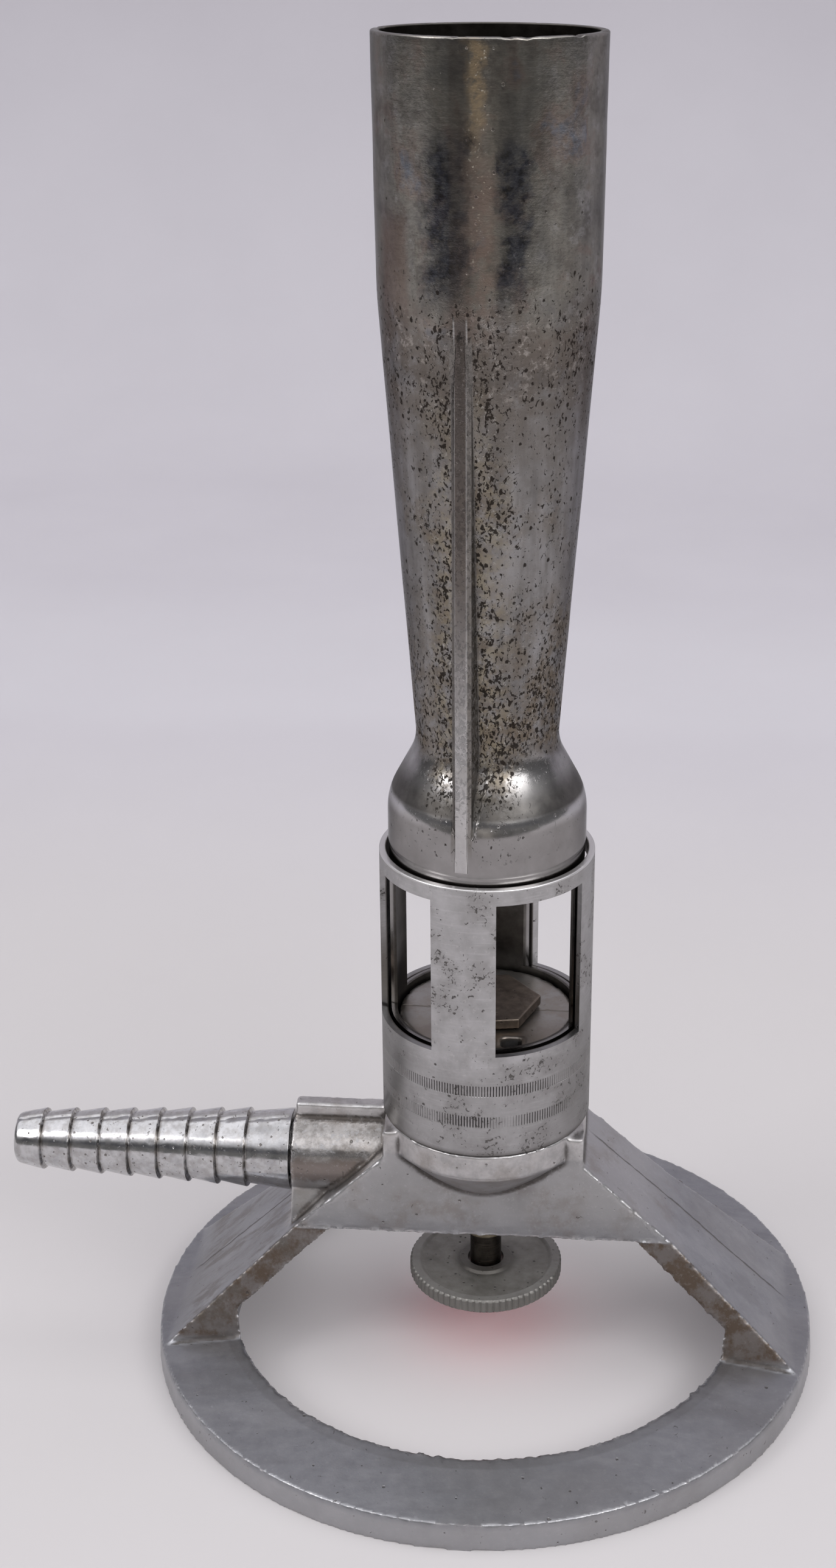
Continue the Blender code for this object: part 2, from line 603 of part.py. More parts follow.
def build():
    clear_scene()
    base_casting()
    hose_barb()
    barrel()
    air_sleeve()
    gas_jet()
    jet_gasket()
    valve_stem()
    valve_knob()
    packing_nut()
    stem_packing()
    nickel = material("grid_nickel", (0.35, 0.33, 0.30), 0.5)
    grid_ring(nickel)
    grid_strips(nickel)


build()
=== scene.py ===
"""Looks of the laboratory gas burner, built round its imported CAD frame.

Each piece that shows is made again here with the wear, seams and knurling that the plain solids lack.
Lengths are metres. Node patterns work in millimetres of the row frame.
"""

from math import cos, pi, radians, sin, tan

import bmesh
import bpy
import numpy as np
from mathutils import Matrix, Vector, noise


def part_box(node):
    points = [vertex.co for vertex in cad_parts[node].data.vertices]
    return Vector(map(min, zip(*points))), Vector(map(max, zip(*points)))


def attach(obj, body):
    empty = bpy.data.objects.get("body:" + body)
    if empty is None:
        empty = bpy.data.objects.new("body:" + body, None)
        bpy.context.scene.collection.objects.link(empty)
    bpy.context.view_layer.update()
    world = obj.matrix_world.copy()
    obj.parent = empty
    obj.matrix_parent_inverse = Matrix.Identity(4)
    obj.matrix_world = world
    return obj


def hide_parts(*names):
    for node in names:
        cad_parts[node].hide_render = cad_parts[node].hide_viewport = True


MM = 0.001

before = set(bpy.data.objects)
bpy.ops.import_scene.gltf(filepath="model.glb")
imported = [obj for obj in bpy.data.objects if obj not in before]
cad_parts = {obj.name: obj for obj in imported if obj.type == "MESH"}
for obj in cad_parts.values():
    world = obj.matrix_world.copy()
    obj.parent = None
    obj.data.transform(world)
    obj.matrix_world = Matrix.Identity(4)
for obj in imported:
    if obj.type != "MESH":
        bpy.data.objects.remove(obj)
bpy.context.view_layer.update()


def middle(node):
    low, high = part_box(node)
    return (low + high) / 2


AXIS = Vector((middle("air_sleeve").x, middle("air_sleeve").y, 0))
INLET_HEIGHT = middle("hose_barb").z

# The camera stands where the photograph was taken from
CAMERA_REACH = 238.85 * MM
CAMERA_HEIGHT = 179.57 * MM
CAMERA_BEARING = radians(3.95)
CAMERA_DIP = radians(22.891)
CAMERA_ROLL = radians(0.199)
CAMERA_LENS = 49.22
CAMERA_SHIFT = -0.04425

# Air windows, cut alike through the skirt and the sleeve
WINDOW_WIDTH = 12.2 * MM
FIRST_WINDOW = radians(36.1)
SLEEVE_WINDOW = (48.4 * MM, 68.7 * MM)
SKIRT_WINDOW = (48.6 * MM, 68.9 * MM)

# Barrel ribs
RIB_BEARING = radians(-10.5)
RIB_RADIUS = 12.3 * MM
RIB_HALF_WIDTH = 0.72 * MM

# Heights that the finishes change at
HEAD_BOTTOM = 138.0
NECK = 84.7
BELL_FOOT = 77.0

SEED = 7
MOST_FACES = 185000


# ---- shader building


class Value:
    """A number, colour or vector that varies over a surface. Arithmetic on it adds shader nodes."""

    def __init__(self, finish, socket):
        self.finish, self.socket = finish, socket

    def __add__(self, other):
        return self.finish.maths("ADD", self, other)

    def __radd__(self, other):
        return self.finish.maths("ADD", other, self)

    def __sub__(self, other):
        return self.finish.maths("SUBTRACT", self, other)

    def __rsub__(self, other):
        return self.finish.maths("SUBTRACT", other, self)

    def __mul__(self, other):
        return self.finish.maths("MULTIPLY", self, other)

    def __abs__(self):
        return self.finish.maths("ABSOLUTE", self)


class Finish:
    """A Principled material under construction.

    x, y, z and radius place the surface point in millimetres from the burner's axis and the bench.
    color is the colour so far, which coat lays further tones over.
    """

    def __init__(self, name, color, roughness, metallic=1.0):
        self.made = bpy.data.materials.new(name)
        self.made.use_nodes = True
        self.tree = self.made.node_tree
        self.surface = self.tree.nodes["Principled BSDF"]
        self.set("Base Color", (*color, 1))
        self.set("Roughness", roughness)
        self.set("Metallic", metallic)
        self.made.diffuse_color = (*color, 1)
        point = self.node("ShaderNodeTexCoord").outputs["Object"]
        moved = self.value("ShaderNodeVectorMath", {"operation": "SUBTRACT"}, {0: point, 1: tuple(AXIS)})
        self.mm = self.value("ShaderNodeVectorMath", {"operation": "SCALE"}, {0: moved, "Scale": 1 / MM})
        parts = self.node("ShaderNodeSeparateXYZ", inputs={0: self.mm})
        self.x, self.y, self.z = [Value(self, socket) for socket in parts.outputs]
        self.radius = self.maths("SQRT", self.x * self.x + self.y * self.y)
        self.color = None

    def feed(self, socket, value):
        """Links a value to a socket, or sets the socket to a constant."""
        value = getattr(value, "socket", value)
        if isinstance(value, bpy.types.NodeSocket):
            self.tree.links.new(value, socket)
        else:
            socket.default_value = value

    def node(self, kind, settings=None, inputs=None):
        made = self.tree.nodes.new(kind)
        for name, value in (settings or {}).items():
            setattr(made, name, value)
        for name, value in (inputs or {}).items():
            self.feed(made.inputs[name], value)
        return made

    def value(self, kind, settings=None, inputs=None):
        """The first output of a new node."""
        return Value(self, self.node(kind, settings, inputs).outputs[0])

    def maths(self, operation, first, second=0.0):
        return self.value("ShaderNodeMath", {"operation": operation}, {0: first, 1: second})

    def most(self, first, second):
        return self.maths("MAXIMUM", first, second)

    def rise(self, value, low, high):
        """0 below low and 1 above high, smooth between; low above high makes it fall instead."""
        inputs = {"Value": value, "From Min": low, "From Max": high}
        return self.value("ShaderNodeMapRange", {"interpolation_type": "SMOOTHSTEP"}, inputs)

    def within(self, value, start, full, fading, end):
        """1 from full to fading, falling to 0 at start and at end."""
        return self.rise(value, start, full) * self.rise(value, end, fading)

    def stretched(self, stretch, offset):
        scaled = self.value("ShaderNodeVectorMath", {"operation": "MULTIPLY"}, {0: self.mm, 1: stretch})
        return self.value("ShaderNodeVectorMath", {"operation": "ADD"}, {0: scaled, 1: (offset,) * 3})

    def clouds(self, size, detail=4.0, roughness=0.55, stretch=(1, 1, 1), offset=0.0, distortion=0.0):
        """Fractal noise from 0 to 1, whose features are about size millimetres."""
        inputs = {"Vector": self.stretched(stretch, offset), "Scale": 1 / size, "Detail": detail}
        inputs.update({"Roughness": roughness, "Distortion": distortion})
        return self.value("ShaderNodeTexNoise", None, inputs)

    def patches(self, size, low, high, detail=5.0, roughness=0.7, stretch=(1, 1, 1), offset=0.0):
        """0 where the clouds are below low, 1 where they are above high."""
        return self.rise(self.clouds(size, detail, roughness, stretch, offset), low, high)

    def pits(self, size, share, largest=0.42, stretch=(1, 1, 1), offset=0.0):
        """1 inside scattered round pits, 0 outside. share is how many of the cells hold a pit."""
        warp = self.clouds(size * 0.7, 2.0, 0.6, offset=offset + 5)
        inputs = {"Vector": self.stretched(stretch, offset), "Scale": 1 / size, "Randomness": 1.0}
        cells = self.node("ShaderNodeTexVoronoi", {"feature": "F1"}, inputs)
        parts = self.node("ShaderNodeSeparateColor", inputs={0: cells.outputs["Color"]})
        chance, width = [Value(self, socket) for socket in parts.outputs[:2]]
        ragged = Value(self, cells.outputs["Distance"]) + (warp - 0.5) * 0.45
        radius = (width * 0.75 + 0.25) * largest
        return self.rise(ragged, radius, radius * 0.55) * self.maths("LESS_THAN", chance, share)

    def blots(self, size, threshold, softness=0.05, stretch=(1, 1, 1), offset=0.0):
        """1 inside ragged, comma-shaped spots; a lower threshold gives more of them."""
        return self.rise(self.clouds(size, 3.0, 0.6, stretch, offset, 0.7) - threshold, 0.0, softness)

    def attribute(self, name):
        return Value(self, self.node("ShaderNodeAttribute", {"attribute_name": name}).outputs["Fac"])

    def ramp(self, value, *stops):
        """Blends colours by value; each stop is (place, colour)."""
        made = self.node("ShaderNodeValToRGB", inputs={0: value})
        fill_ramp(made.color_ramp.elements, stops)
        return Value(self, made.outputs[0])

    def blend(self, share, first, second):
        """first where share is 0, and second where it is 1."""
        made = self.node("ShaderNodeMix", {"data_type": "RGBA"})
        fed = {"Factor_Float": share, "A_Color": first, "B_Color": second}
        for socket in made.inputs:
            if socket.identifier in fed:
                value = fed[socket.identifier]
                self.feed(socket, (*value, 1) if isinstance(value, tuple) else value)
        return Value(self, next(socket for socket in made.outputs if socket.identifier == "Result_Color"))

    def coat(self, share, tone):
        self.color = self.blend(share, self.color, tone)

    def set(self, name, value):
        self.feed(self.surface.inputs[name], value)

    def complete(self, roughness, height, depth):
        """Feeds the surface. height bumps it by depth millimetres for each unit."""
        self.set("Base Color", self.color)
        self.set("Roughness", roughness)
        inputs = {"Height": height, "Strength": 1.0, "Distance": depth * MM}
        self.set("Normal", self.value("ShaderNodeBump", None, inputs))
        return self


def fill_ramp(elements, stops):
    while len(elements) < len(stops):
        elements.new(0.5)
    for element, (place, color) in zip(elements, stops):
        element.position = place
        element.color = (*color, 1)


# ---- mesh building


def linked(name, data):
    made = bpy.data.objects.new(name, data)
    bpy.context.collection.objects.link(made)
    return made


def object_from(name, vertices, faces):
    mesh = bpy.data.meshes.new(name)
    mesh.from_pydata([tuple(v) for v in vertices], [], faces)
    mesh.update()
    return linked(name, mesh)


def object_from_bmesh(name, bm):
    mesh = bpy.data.meshes.new(name)
    bm.to_mesh(mesh)
    bm.free()
    return linked(name, mesh)


def points_of(made):
    flat = np.empty(len(made.data.vertices) * 3)
    made.data.vertices.foreach_get("co", flat)
    return flat.reshape(-1, 3)


def set_points(made, points):
    made.data.vertices.foreach_set("co", np.ascontiguousarray(points, dtype=float).ravel())
    made.data.update()


def from_axis(points):
    """Each point's distance from the burner's axis."""
    return np.hypot(points[:, 0] - AXIS.x, points[:, 1] - AXIS.y)


def draw_in(points, scale):
    """Scales each point's distance from the burner's axis."""
    points[:, 0] = AXIS.x + (points[:, 0] - AXIS.x) * scale
    points[:, 1] = AXIS.y + (points[:, 1] - AXIS.y) * scale


def normals_of(made):
    flat = np.empty(len(made.data.vertices) * 3)
    made.data.vertex_normals.foreach_get("vector", flat)
    return flat.reshape(-1, 3)


def set_attribute(made, name, values):
    """Keeps one number a vertex, for the finish to read."""
    kept = made.data.attributes.get(name) or made.data.attributes.new(name, "FLOAT", "POINT")
    kept.data.foreach_set("value", np.ascontiguousarray(values, dtype=np.float32))


def ripple(points, size, octaves=3, offset=0.0):
    """Smooth noise from about -1 to 1 at each point, with features about size metres across."""
    shift = Vector((offset, offset * 1.7, offset * 0.6))
    return np.array([noise.fractal(Vector(p) / size + shift, 1.0, 2.0, octaves) for p in points])


def smoothstep(values, low, high):
    share = np.clip((values - low) / (high - low), 0, 1)
    return share * share * (3 - 2 * share)


def rounded_loop(corners):
    """Points of a closed outline from (radius, height, rounding, step) corners in millimetres.

    rounding rounds the corner, and step is the longest gap between points on the way to the next one.
    """
    stations = []
    for index, (radius, height, rounding, step) in enumerate(corners):
        corner = Vector((radius, height))
        into = (Vector(corners[index - 1][:2]) - corner).normalized()
        out = (Vector(corners[(index + 1) % len(corners)][:2]) - corner).normalized()
        reach = rounding / tan(into.angle(out) / 2)
        start, end = corner + into * reach, corner + out * reach
        pieces = 6 if rounding else 0
        for piece in range(pieces + 1):
            share = piece / pieces if pieces else 0
            bent = start * (1 - share) ** 2 + corner * 2 * share * (1 - share) + end * share ** 2
            stations.append((bent, step if piece == pieces else 1e9))
    loop = []
    for index, (point, step) in enumerate(stations):
        after = stations[(index + 1) % len(stations)][0]
        pieces = max(1, int(np.ceil((after - point).length / step)))
        loop += [tuple((point + (after - point) * piece / pieces) * MM) for piece in range(pieces)]
    return loop


def lathe(name, loop, columns, place=AXIS):
    """Sweeps a closed loop of (radius, height) points round the upright line through place."""
    angles = 2 * pi * np.arange(columns) / columns
    rings = [np.column_stack((r * np.cos(angles), r * np.sin(angles), np.full(columns, z))) for r, z in loop]
    faces = []
    for index in range(len(loop)):
        upper = index * columns
        lower = (index + 1) % len(loop) * columns
        for step in range(columns):
            after = (step + 1) % columns
            faces.append((upper + step, lower + step, lower + after, upper + after))
    made = object_from(name, np.vstack(rings) + np.array(place), faces)
    face_outwards(made)
    return made


def face_outwards(made):
    bm = bmesh.new()
    bm.from_mesh(made.data)
    bmesh.ops.recalc_face_normals(bm, faces=bm.faces)
    bm.to_mesh(made.data)
    bm.free()


def baked(made):
    """Applies the object's modifiers."""
    bpy.context.view_layer.update()
    evaluated = made.evaluated_get(bpy.context.evaluated_depsgraph_get())
    result = bpy.data.meshes.new_from_object(evaluated, preserve_all_data_layers=True,
                                             depsgraph=bpy.context.evaluated_depsgraph_get())
    made.modifiers.clear()
    made.data = result
    return made


def combine(target, operation, tools):
    for tool in tools:
        modifier = target.modifiers.new(operation.title(), "BOOLEAN")
        modifier.operation = operation
        modifier.solver = "EXACT"
        modifier.object = tool
        baked(target)
        bpy.data.objects.remove(tool, do_unlink=True)
    return target


def prism(name, outline, half_depth, to_point, round_edge=0.0):
    """Extrudes a flat (u, v) outline half_depth each way; round_edge rounds all its edges."""
    bm = bmesh.new()
    near = [bm.verts.new(to_point(u, v, -half_depth)) for u, v in outline]
    far = [bm.verts.new(to_point(u, v, half_depth)) for u, v in outline]
    bm.faces.new(near)
    bm.faces.new(list(reversed(far)))
    for index in range(len(outline)):
        after = (index + 1) % len(outline)
        bm.faces.new((near[index], near[after], far[after], far[index]))
    bmesh.ops.recalc_face_normals(bm, faces=bm.faces)
    if round_edge:
        bmesh.ops.bevel(bm, geom=bm.edges, offset=round_edge, segments=3, affect="EDGES", profile=0.5)
    return object_from_bmesh(name, bm)


def at_bearing(bearing):
    """Maps (outward, up, sideways) from the axis at a bearing counted from -Y towards +X."""
    outward = Vector((sin(bearing), -cos(bearing), 0))
    sideways = Vector((cos(bearing), sin(bearing), 0))
    return lambda u, v, w: AXIS + outward * u + sideways * w + Vector((0, 0, v))


def window_cutters(bottom, top):
    inner, outer = 7 * MM, 16 * MM
    outline = [(inner, bottom), (outer, bottom), (outer, top), (inner, top)]
    return [prism("window", outline, WINDOW_WIDTH / 2, at_bearing(FIRST_WINDOW + index * pi / 2))
            for index in range(4)]


def finished(made, finish, body, replaced, smooth_angle=35):
    """Gives a piece its finish and its body, and puts it in place of CAD nodes."""
    made.data.materials.clear()
    made.data.materials.append(finish.made)
    made.data.name = made.name
    made.data.shade_smooth()
    made.data.set_sharp_from_angle(angle=radians(smooth_angle))
    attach(made, body)
    if replaced:
        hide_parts(*replaced)
    return made


def cast_copy(name, node, voxel, smoothing=2):
    """Remeshes a CAD node finely and evenly, which rounds its edges a little as casting does."""
    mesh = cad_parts[node].data
    made = object_from(name, [v.co for v in mesh.vertices], [tuple(p.vertices) for p in mesh.polygons])
    bm = bmesh.new()
    bm.from_mesh(made.data)
    bmesh.ops.remove_doubles(bm, verts=bm.verts, dist=0.002 * MM)
    bm.to_mesh(made.data)
    bm.free()
    remesh = made.modifiers.new("Remesh", "REMESH")
    remesh.mode = "VOXEL"
    remesh.voxel_size = voxel
    remesh.adaptivity = 0.0
    soften = made.modifiers.new("Soften", "SMOOTH")
    soften.factor = 0.5
    soften.iterations = smoothing
    return baked(made)


def convexity(made, spread):
    """How far each vertex stands out of its neighbours' plane, in metres, averaged over spread rounds."""
    points, normals = points_of(made), normals_of(made)
    edges = np.empty(len(made.data.edges) * 2, dtype=int)
    made.data.edges.foreach_get("vertices", edges)
    edges = edges.reshape(-1, 2)
    count = np.bincount(edges.ravel(), minlength=len(points)).astype(float)

    def neighbour_mean(values):
        total = [np.bincount(edges[:, 0], values[edges[:, 1], axis], len(points))
                 + np.bincount(edges[:, 1], values[edges[:, 0], axis], len(points)) for axis in range(3)]
        return np.column_stack(total) / count[:, None]

    blurred = points
    for _ in range(spread):
        blurred = neighbour_mean(blurred)
    return np.einsum("ij,ij->i", points - blurred, normals)


def strip_along(name, rows, bearing_at, reach_at, half_width_at, root_at, slope=0.0):
    """A raised line that climbs a turned piece: one rounded cross-section at each height in rows.

    slope is how far its sides spread below the face, on the way to its root.
    """
    bm = bmesh.new()
    rings = []
    for height in rows:
        to_point = at_bearing(bearing_at(height))
        reach, half, root = reach_at(height), half_width_at(height), root_at(height)
        soft = min(0.16 * MM, half * 0.6)
        foot = half + slope
        spread = min(reach - 1.25 * slope, reach - soft)
        if slope:
            section = [(min(root, spread - soft), -foot), (spread, -foot), (reach - soft, -half)]
        else:
            section = [(root, -half), (reach - soft, -half)]
        section += [(reach - 0.3 * soft, -half + 0.3 * soft), (reach, -half + soft)]
        section += [(u, -w) for u, w in reversed(section)]
        rings.append([bm.verts.new(to_point(u, height, w)) for u, w in section])
    bm.faces.new(rings[0])
    bm.faces.new(list(reversed(rings[-1])))
    for lower, upper in zip(rings, rings[1:]):
        for index in range(len(lower)):
            after = (index + 1) % len(lower)
            bm.faces.new((lower[index], lower[after], upper[after], upper[index]))
    bmesh.ops.recalc_face_normals(bm, faces=bm.faces)
    return object_from_bmesh(name, bm)


def wobble(place, size, offset=0.0):
    """One smooth random number, about -1 to 1, for a place along a line."""
    return noise.fractal(Vector((place / size + offset, offset * 0.7, 3.1)), 1.0, 2.0, 3)


# ---- barrel

HEAD_RADIUS, HEAD_LOW_RADIUS = 12.68, 12.43
NECK_RADIUS, BELL_RADIUS, SKIRT_RADIUS = 8.45, 12.1, 12.0
RIM_HEIGHT, SKIRT_BOTTOM, SLEEVE_TOP = 165.0, 34.4, 70.74
SKIRT_BORE, SKIRT_SHOULDER = 11.25, 71.6
BARREL_COLUMNS = 240

BARREL_LOOP = rounded_loop([
    (HEAD_RADIUS, RIM_HEIGHT, 0.25, 0.6),
    (HEAD_LOW_RADIUS, HEAD_BOTTOM, 70.0, 0.6),
    (NECK_RADIUS, NECK, 6.0, 0.4),
    (BELL_RADIUS, 77.9, 8.0, 0.4),
    (BELL_RADIUS, 72.2, 0.25, 0.5),
    (SKIRT_RADIUS, SKIRT_SHOULDER, 0.1, 3.0),
    (SKIRT_RADIUS, SKIRT_BOTTOM, 0.15, 1.0),
    (SKIRT_BORE, SKIRT_BOTTOM, 0.15, 3.0),
    (SKIRT_BORE, SKIRT_SHOULDER, 1.0, 2.0),
    (10.95, BELL_FOOT, 1.0, 2.0),
    (7.1, NECK, 2.0, 3.0),
    (11.3, HEAD_BOTTOM, 3.0, 2.0),
    (11.7, RIM_HEIGHT, 0.2, 0.3),
])
LOWEST = min(range(len(BARREL_LOOP)), key=lambda index: BARREL_LOOP[index][1])
OUTSIDE = sorted((height, radius) for radius, height in BARREL_LOOP[6:LOWEST])


def outer_radius(height):
    """The barrel's outside radius at a height, both in metres."""
    return float(np.interp(height, [h for h, _ in OUTSIDE], [r for _, r in OUTSIDE]))


def rib(bearing, number):
    """A moulding rib with a flat front, which fills the waist out to one radius."""
    rows = np.arange(72.4, 137.2, 0.5) * MM
    top = rows[-1]

    def reach_at(height):
        fade = 0.75 * MM * smoothstep(height, top - 2.2 * MM, top)
        return RIB_RADIUS - fade + 0.02 * MM * wobble(height, 4 * MM, number)

    def half_width_at(height):
        narrow = 0.45 * smoothstep(height, top - 9 * MM, top)
        foot = 0.1 * MM * smoothstep(height, 74.4 * MM, 73.6 * MM)
        return RIB_HALF_WIDTH * (1 - narrow) + foot + 0.03 * MM * wobble(height, 3 * MM, number + 9)

    def root_at(height):
        return min(outer_radius(height), RIB_RADIUS) - 0.9 * MM

    return strip_along(f"rib_{number}", rows, lambda height: bearing, reach_at, half_width_at, root_at, 0.42 * MM)


def bell_flash(bearing, side, number):
    """The ragged seam that runs down the bell beside a rib and meets it."""
    rows = np.arange(76.6, 84.6, 0.22) * MM

    def bearing_at(height):
        share = (height - rows[0]) / (rows[-1] - rows[0])
        return bearing + side * (radians(6.5 + 9.0 * share) + radians(0.9) * wobble(height, 0.8 * MM, number))

    def reach_at(height):
        return outer_radius(height) + (0.1 + 0.09 * wobble(height, 0.6 * MM, number + 4)) * MM

    def half_width_at(height):
        return (0.17 + 0.07 * wobble(height, 0.5 * MM, number + 7)) * MM

    return strip_along(f"flash_{number}", rows, bearing_at, reach_at, half_width_at,
                       lambda height: outer_radius(height) - 0.7 * MM)


def make_barrel():
    made = lathe("barrel_shell", BARREL_LOOP, BARREL_COLUMNS)
    ribs = [rib(RIB_BEARING, 1), rib(RIB_BEARING + pi, 2), bell_flash(RIB_BEARING, 1, 3),
            bell_flash(RIB_BEARING + pi, 1, 5)]
    combine(made, "UNION", ribs)
    combine(made, "DIFFERENCE", window_cutters(*SKIRT_WINDOW))
    points = points_of(made)
    # The rim is worn and a little uneven
    near_rim = smoothstep(points[:, 2], (RIM_HEIGHT - 1.2) * MM, RIM_HEIGHT * MM)
    dents = np.clip(ripple(points, 2.2 * MM, 3, 4.0) - 0.15, 0, 1)
    points[:, 2] -= 0.35 * MM * near_rim * dents
    outward = points - np.array(AXIS)
    outward[:, 2] = 0
    outward /= np.linalg.norm(outward, axis=1)[:, None]
    uneven = ripple(points, 9 * MM, 2, 1.0) * 0.035 * MM * smoothstep(points[:, 2], 71.8 * MM, 76 * MM)
    points += outward * (uneven * smoothstep(points[:, 2], RIM_HEIGHT * MM, (RIM_HEIGHT - 3) * MM))[:, None]
    set_points(made, points)
    return finished(made, barrel_metal(), "base", ["barrel"], 38)


def barrel_metal():
    f = Finish("barrel_metal_worn", (0.4, 0.39, 0.38), 0.34)
    uneven = f.clouds(5, 5, 0.6) - 0.5
    wander = f.z + uneven * 14
    head = f.rise(wander, HEAD_BOTTOM - 6.5, HEAD_BOTTOM + 3)
    bell = f.rise(f.z + uneven * 5, 85.5, 82)
    front = f.rise(f.y, -1, -5)
    fine = f.clouds(0.55, 4, 0.7, offset=61)
    # Bare grey metal, mottled
    mottle = f.clouds(2.6, 6, 0.66, offset=3)
    f.color = f.ramp(mottle, (0.3, (0.175, 0.168, 0.16)), (0.5, (0.22, 0.213, 0.208)), (0.7, (0.285, 0.28, 0.28)))
    streaks = f.clouds(2.2, 4, 0.6, stretch=(1, 1, 0.1), offset=73)
    f.coat(f.rise(streaks, 0.48, 0.66) * 0.5, (0.36, 0.355, 0.36))
    f.coat(f.rise(streaks, 0.5, 0.36) * 0.4, (0.125, 0.12, 0.12))
    brownish = f.rise(wander, 114, 136) * f.patches(3.8, 0.3, 0.54, offset=81)
    f.coat(brownish * 0.8, (0.13, 0.108, 0.088))
    crust = f.within(wander, 126, 133, 139, 143) * f.patches(1.4, 0.54, 0.64, roughness=0.75, offset=83)
    f.coat(crust * 0.7, (0.42, 0.39, 0.36))
    bright = f.ramp(mottle, (0.3, (0.54, 0.53, 0.525)), (0.7, (0.64, 0.63, 0.63)))
    # The bell's upright band is painted darker, as painted shade standing for the dimmer reflection it shows
    cylinder = f.rise(f.z, 78.2, 76.8) * (0.55 + f.clouds(4, 4, 0.6, offset=107) * 0.5)
    bright = f.blend(cylinder, bright, (0.22, 0.21, 0.205))
    f.coat(bell, bright)
    bare_metal = f.color
    # Heat tint of the head: grey-brown with patches of straw, mauve and blue
    tint = f.clouds(6.5, 5, 0.62, offset=11, distortion=0.3)
    f.color = f.ramp(tint, (0.32, (0.17, 0.165, 0.155)), (0.42, (0.225, 0.218, 0.195)), (0.52, (0.275, 0.262, 0.23)),
                     (0.6, (0.26, 0.215, 0.185)), (0.68, (0.2, 0.22, 0.255)))
    f.coat(f.rise(streaks, 0.48, 0.64) * 0.28, (0.36, 0.345, 0.325))
    f.coat(f.rise(streaks, 0.52, 0.38) * 0.28, (0.13, 0.118, 0.108))
    # Pale patches kept to the head's sides, away from its middle: partly tint, partly painted reflection of the
    # brighter surroundings
    pale = f.patches(2.4, 0.5, 0.66, detail=6, roughness=0.75, offset=87) * f.rise(abs(f.x), 3, 9)
    f.coat(pale * 0.45, (0.44, 0.43, 0.42))
    blotches = f.patches(3.2, 0.5, 0.62, offset=97)
    f.coat(blotches * 0.45, (0.125, 0.112, 0.1))
    bar = f.rise(f.x + uneven * 2.5, -7.4, -8.4) * f.rise(f.x, -11.6, -10.6) * front * f.rise(f.z, 149, 145)
    f.coat(bar * 0.6, (0.19, 0.135, 0.11))
    f.color = f.blend(f.rise(fine, 0.3, 0.55), f.blend(0.25, f.color, (0.07, 0.065, 0.06)), f.color)
    # Painted highlight: a straw-coloured strip high on the middle of the front, mauve below it, and bright sparkles
    # lower down
    patchy = f.clouds(1.5, 6, 0.75, offset=91)
    off_middle = abs(f.x + 0.6 + uneven * 5)
    straw_highlight = f.rise(off_middle, 1.5, 0.2) * front * f.rise(f.z, 150, 160) * f.rise(patchy, 0.3, 0.54)
    f.coat(straw_highlight * 0.85, (0.55, 0.43, 0.28))
    mauve_highlight = f.rise(off_middle, 3.4, 1) * front * f.rise(f.z, 159, 149) * f.rise(patchy, 0.28, 0.6)
    f.coat(mauve_highlight * 0.7, (0.31, 0.235, 0.205))
    highlight_sparkle = f.rise(off_middle, 1.8, 0.8) * front * f.rise(f.z, 140, 146) * f.rise(fine, 0.6, 0.68)
    f.coat(highlight_sparkle * 0.85, (0.95, 0.9, 0.78))
    f.color = f.blend(head, bare_metal, f.color)
    # Two blackened patches on the front of the head's lower half, either side of its middle: soot in their texture,
    # and painted dark reflection in where they lie
    ragged = (f.clouds(3.4, 5, 0.7, offset=23) - 0.5) * 7
    sideways = f.x + ragged
    left = f.within(sideways, -7.4, -4.4, -2.3, -0.9)
    right = f.within(sideways, 1.5, 2.7, 4, 5.6)
    rises = f.z + ragged
    soot_and_reflection_patch = (left + right) * f.within(rises, 136, 142.5, 153, 157) * front
    soot_and_dark_reflection = f.ramp(f.clouds(1.1, 6, 0.75, offset=31), (0.4, (0.012, 0.014, 0.02)), (0.5, (0.05, 0.055, 0.075)),
                  (0.64, (0.13, 0.135, 0.145)))
    gaps = f.patches(1.8, 0.36, 0.56, roughness=0.75, offset=101)
    f.coat(soot_and_reflection_patch * (0.35 + gaps * 0.5), soot_and_dark_reflection)
    # Brown stain that gathers with the pits, thickest low on the taper and beside the ribs
    from_rib = abs(f.x * cos(RIB_BEARING) + f.y * sin(RIB_BEARING))
    near_rib = f.rise(from_rib + uneven * 6, 6.4, 1.8)
    gather = f.clouds(8, 3, 0.5, stretch=(1, 1, 0.6), offset=41)
    smooth_bell = f.rise(f.z + uneven * 4, 87, 83.5) * f.rise(from_rib + uneven * 4, 3.5, 7.5)
    low = f.within(f.z, 76.5, 82, 112, 136) * (1 - smooth_bell)
    below_head = f.within(wander, 118, 128, 137, 144)
    spread = f.rise(gather, 0.42, 0.62) * 0.5 + f.rise(f.z, 114, 90) * 0.45 + near_rib * 0.5 + below_head * 0.2
    dense = f.maths("MINIMUM", spread, 1)
    stain = f.patches(2.6, 0.38, 0.6, offset=47) * low * dense
    f.coat(stain * 0.75, (0.185, 0.145, 0.1))
    on_rib = f.rise(from_rib, 1.3, 0.9) * f.rise(f.z, 84, 90)
    f.coat(on_rib * 0.35, (0.12, 0.1, 0.085))
    straw_stain = near_rib * low * f.patches(1.6, 0.42, 0.62, offset=49)
    f.coat(straw_stain * 0.45, (0.36, 0.315, 0.215))
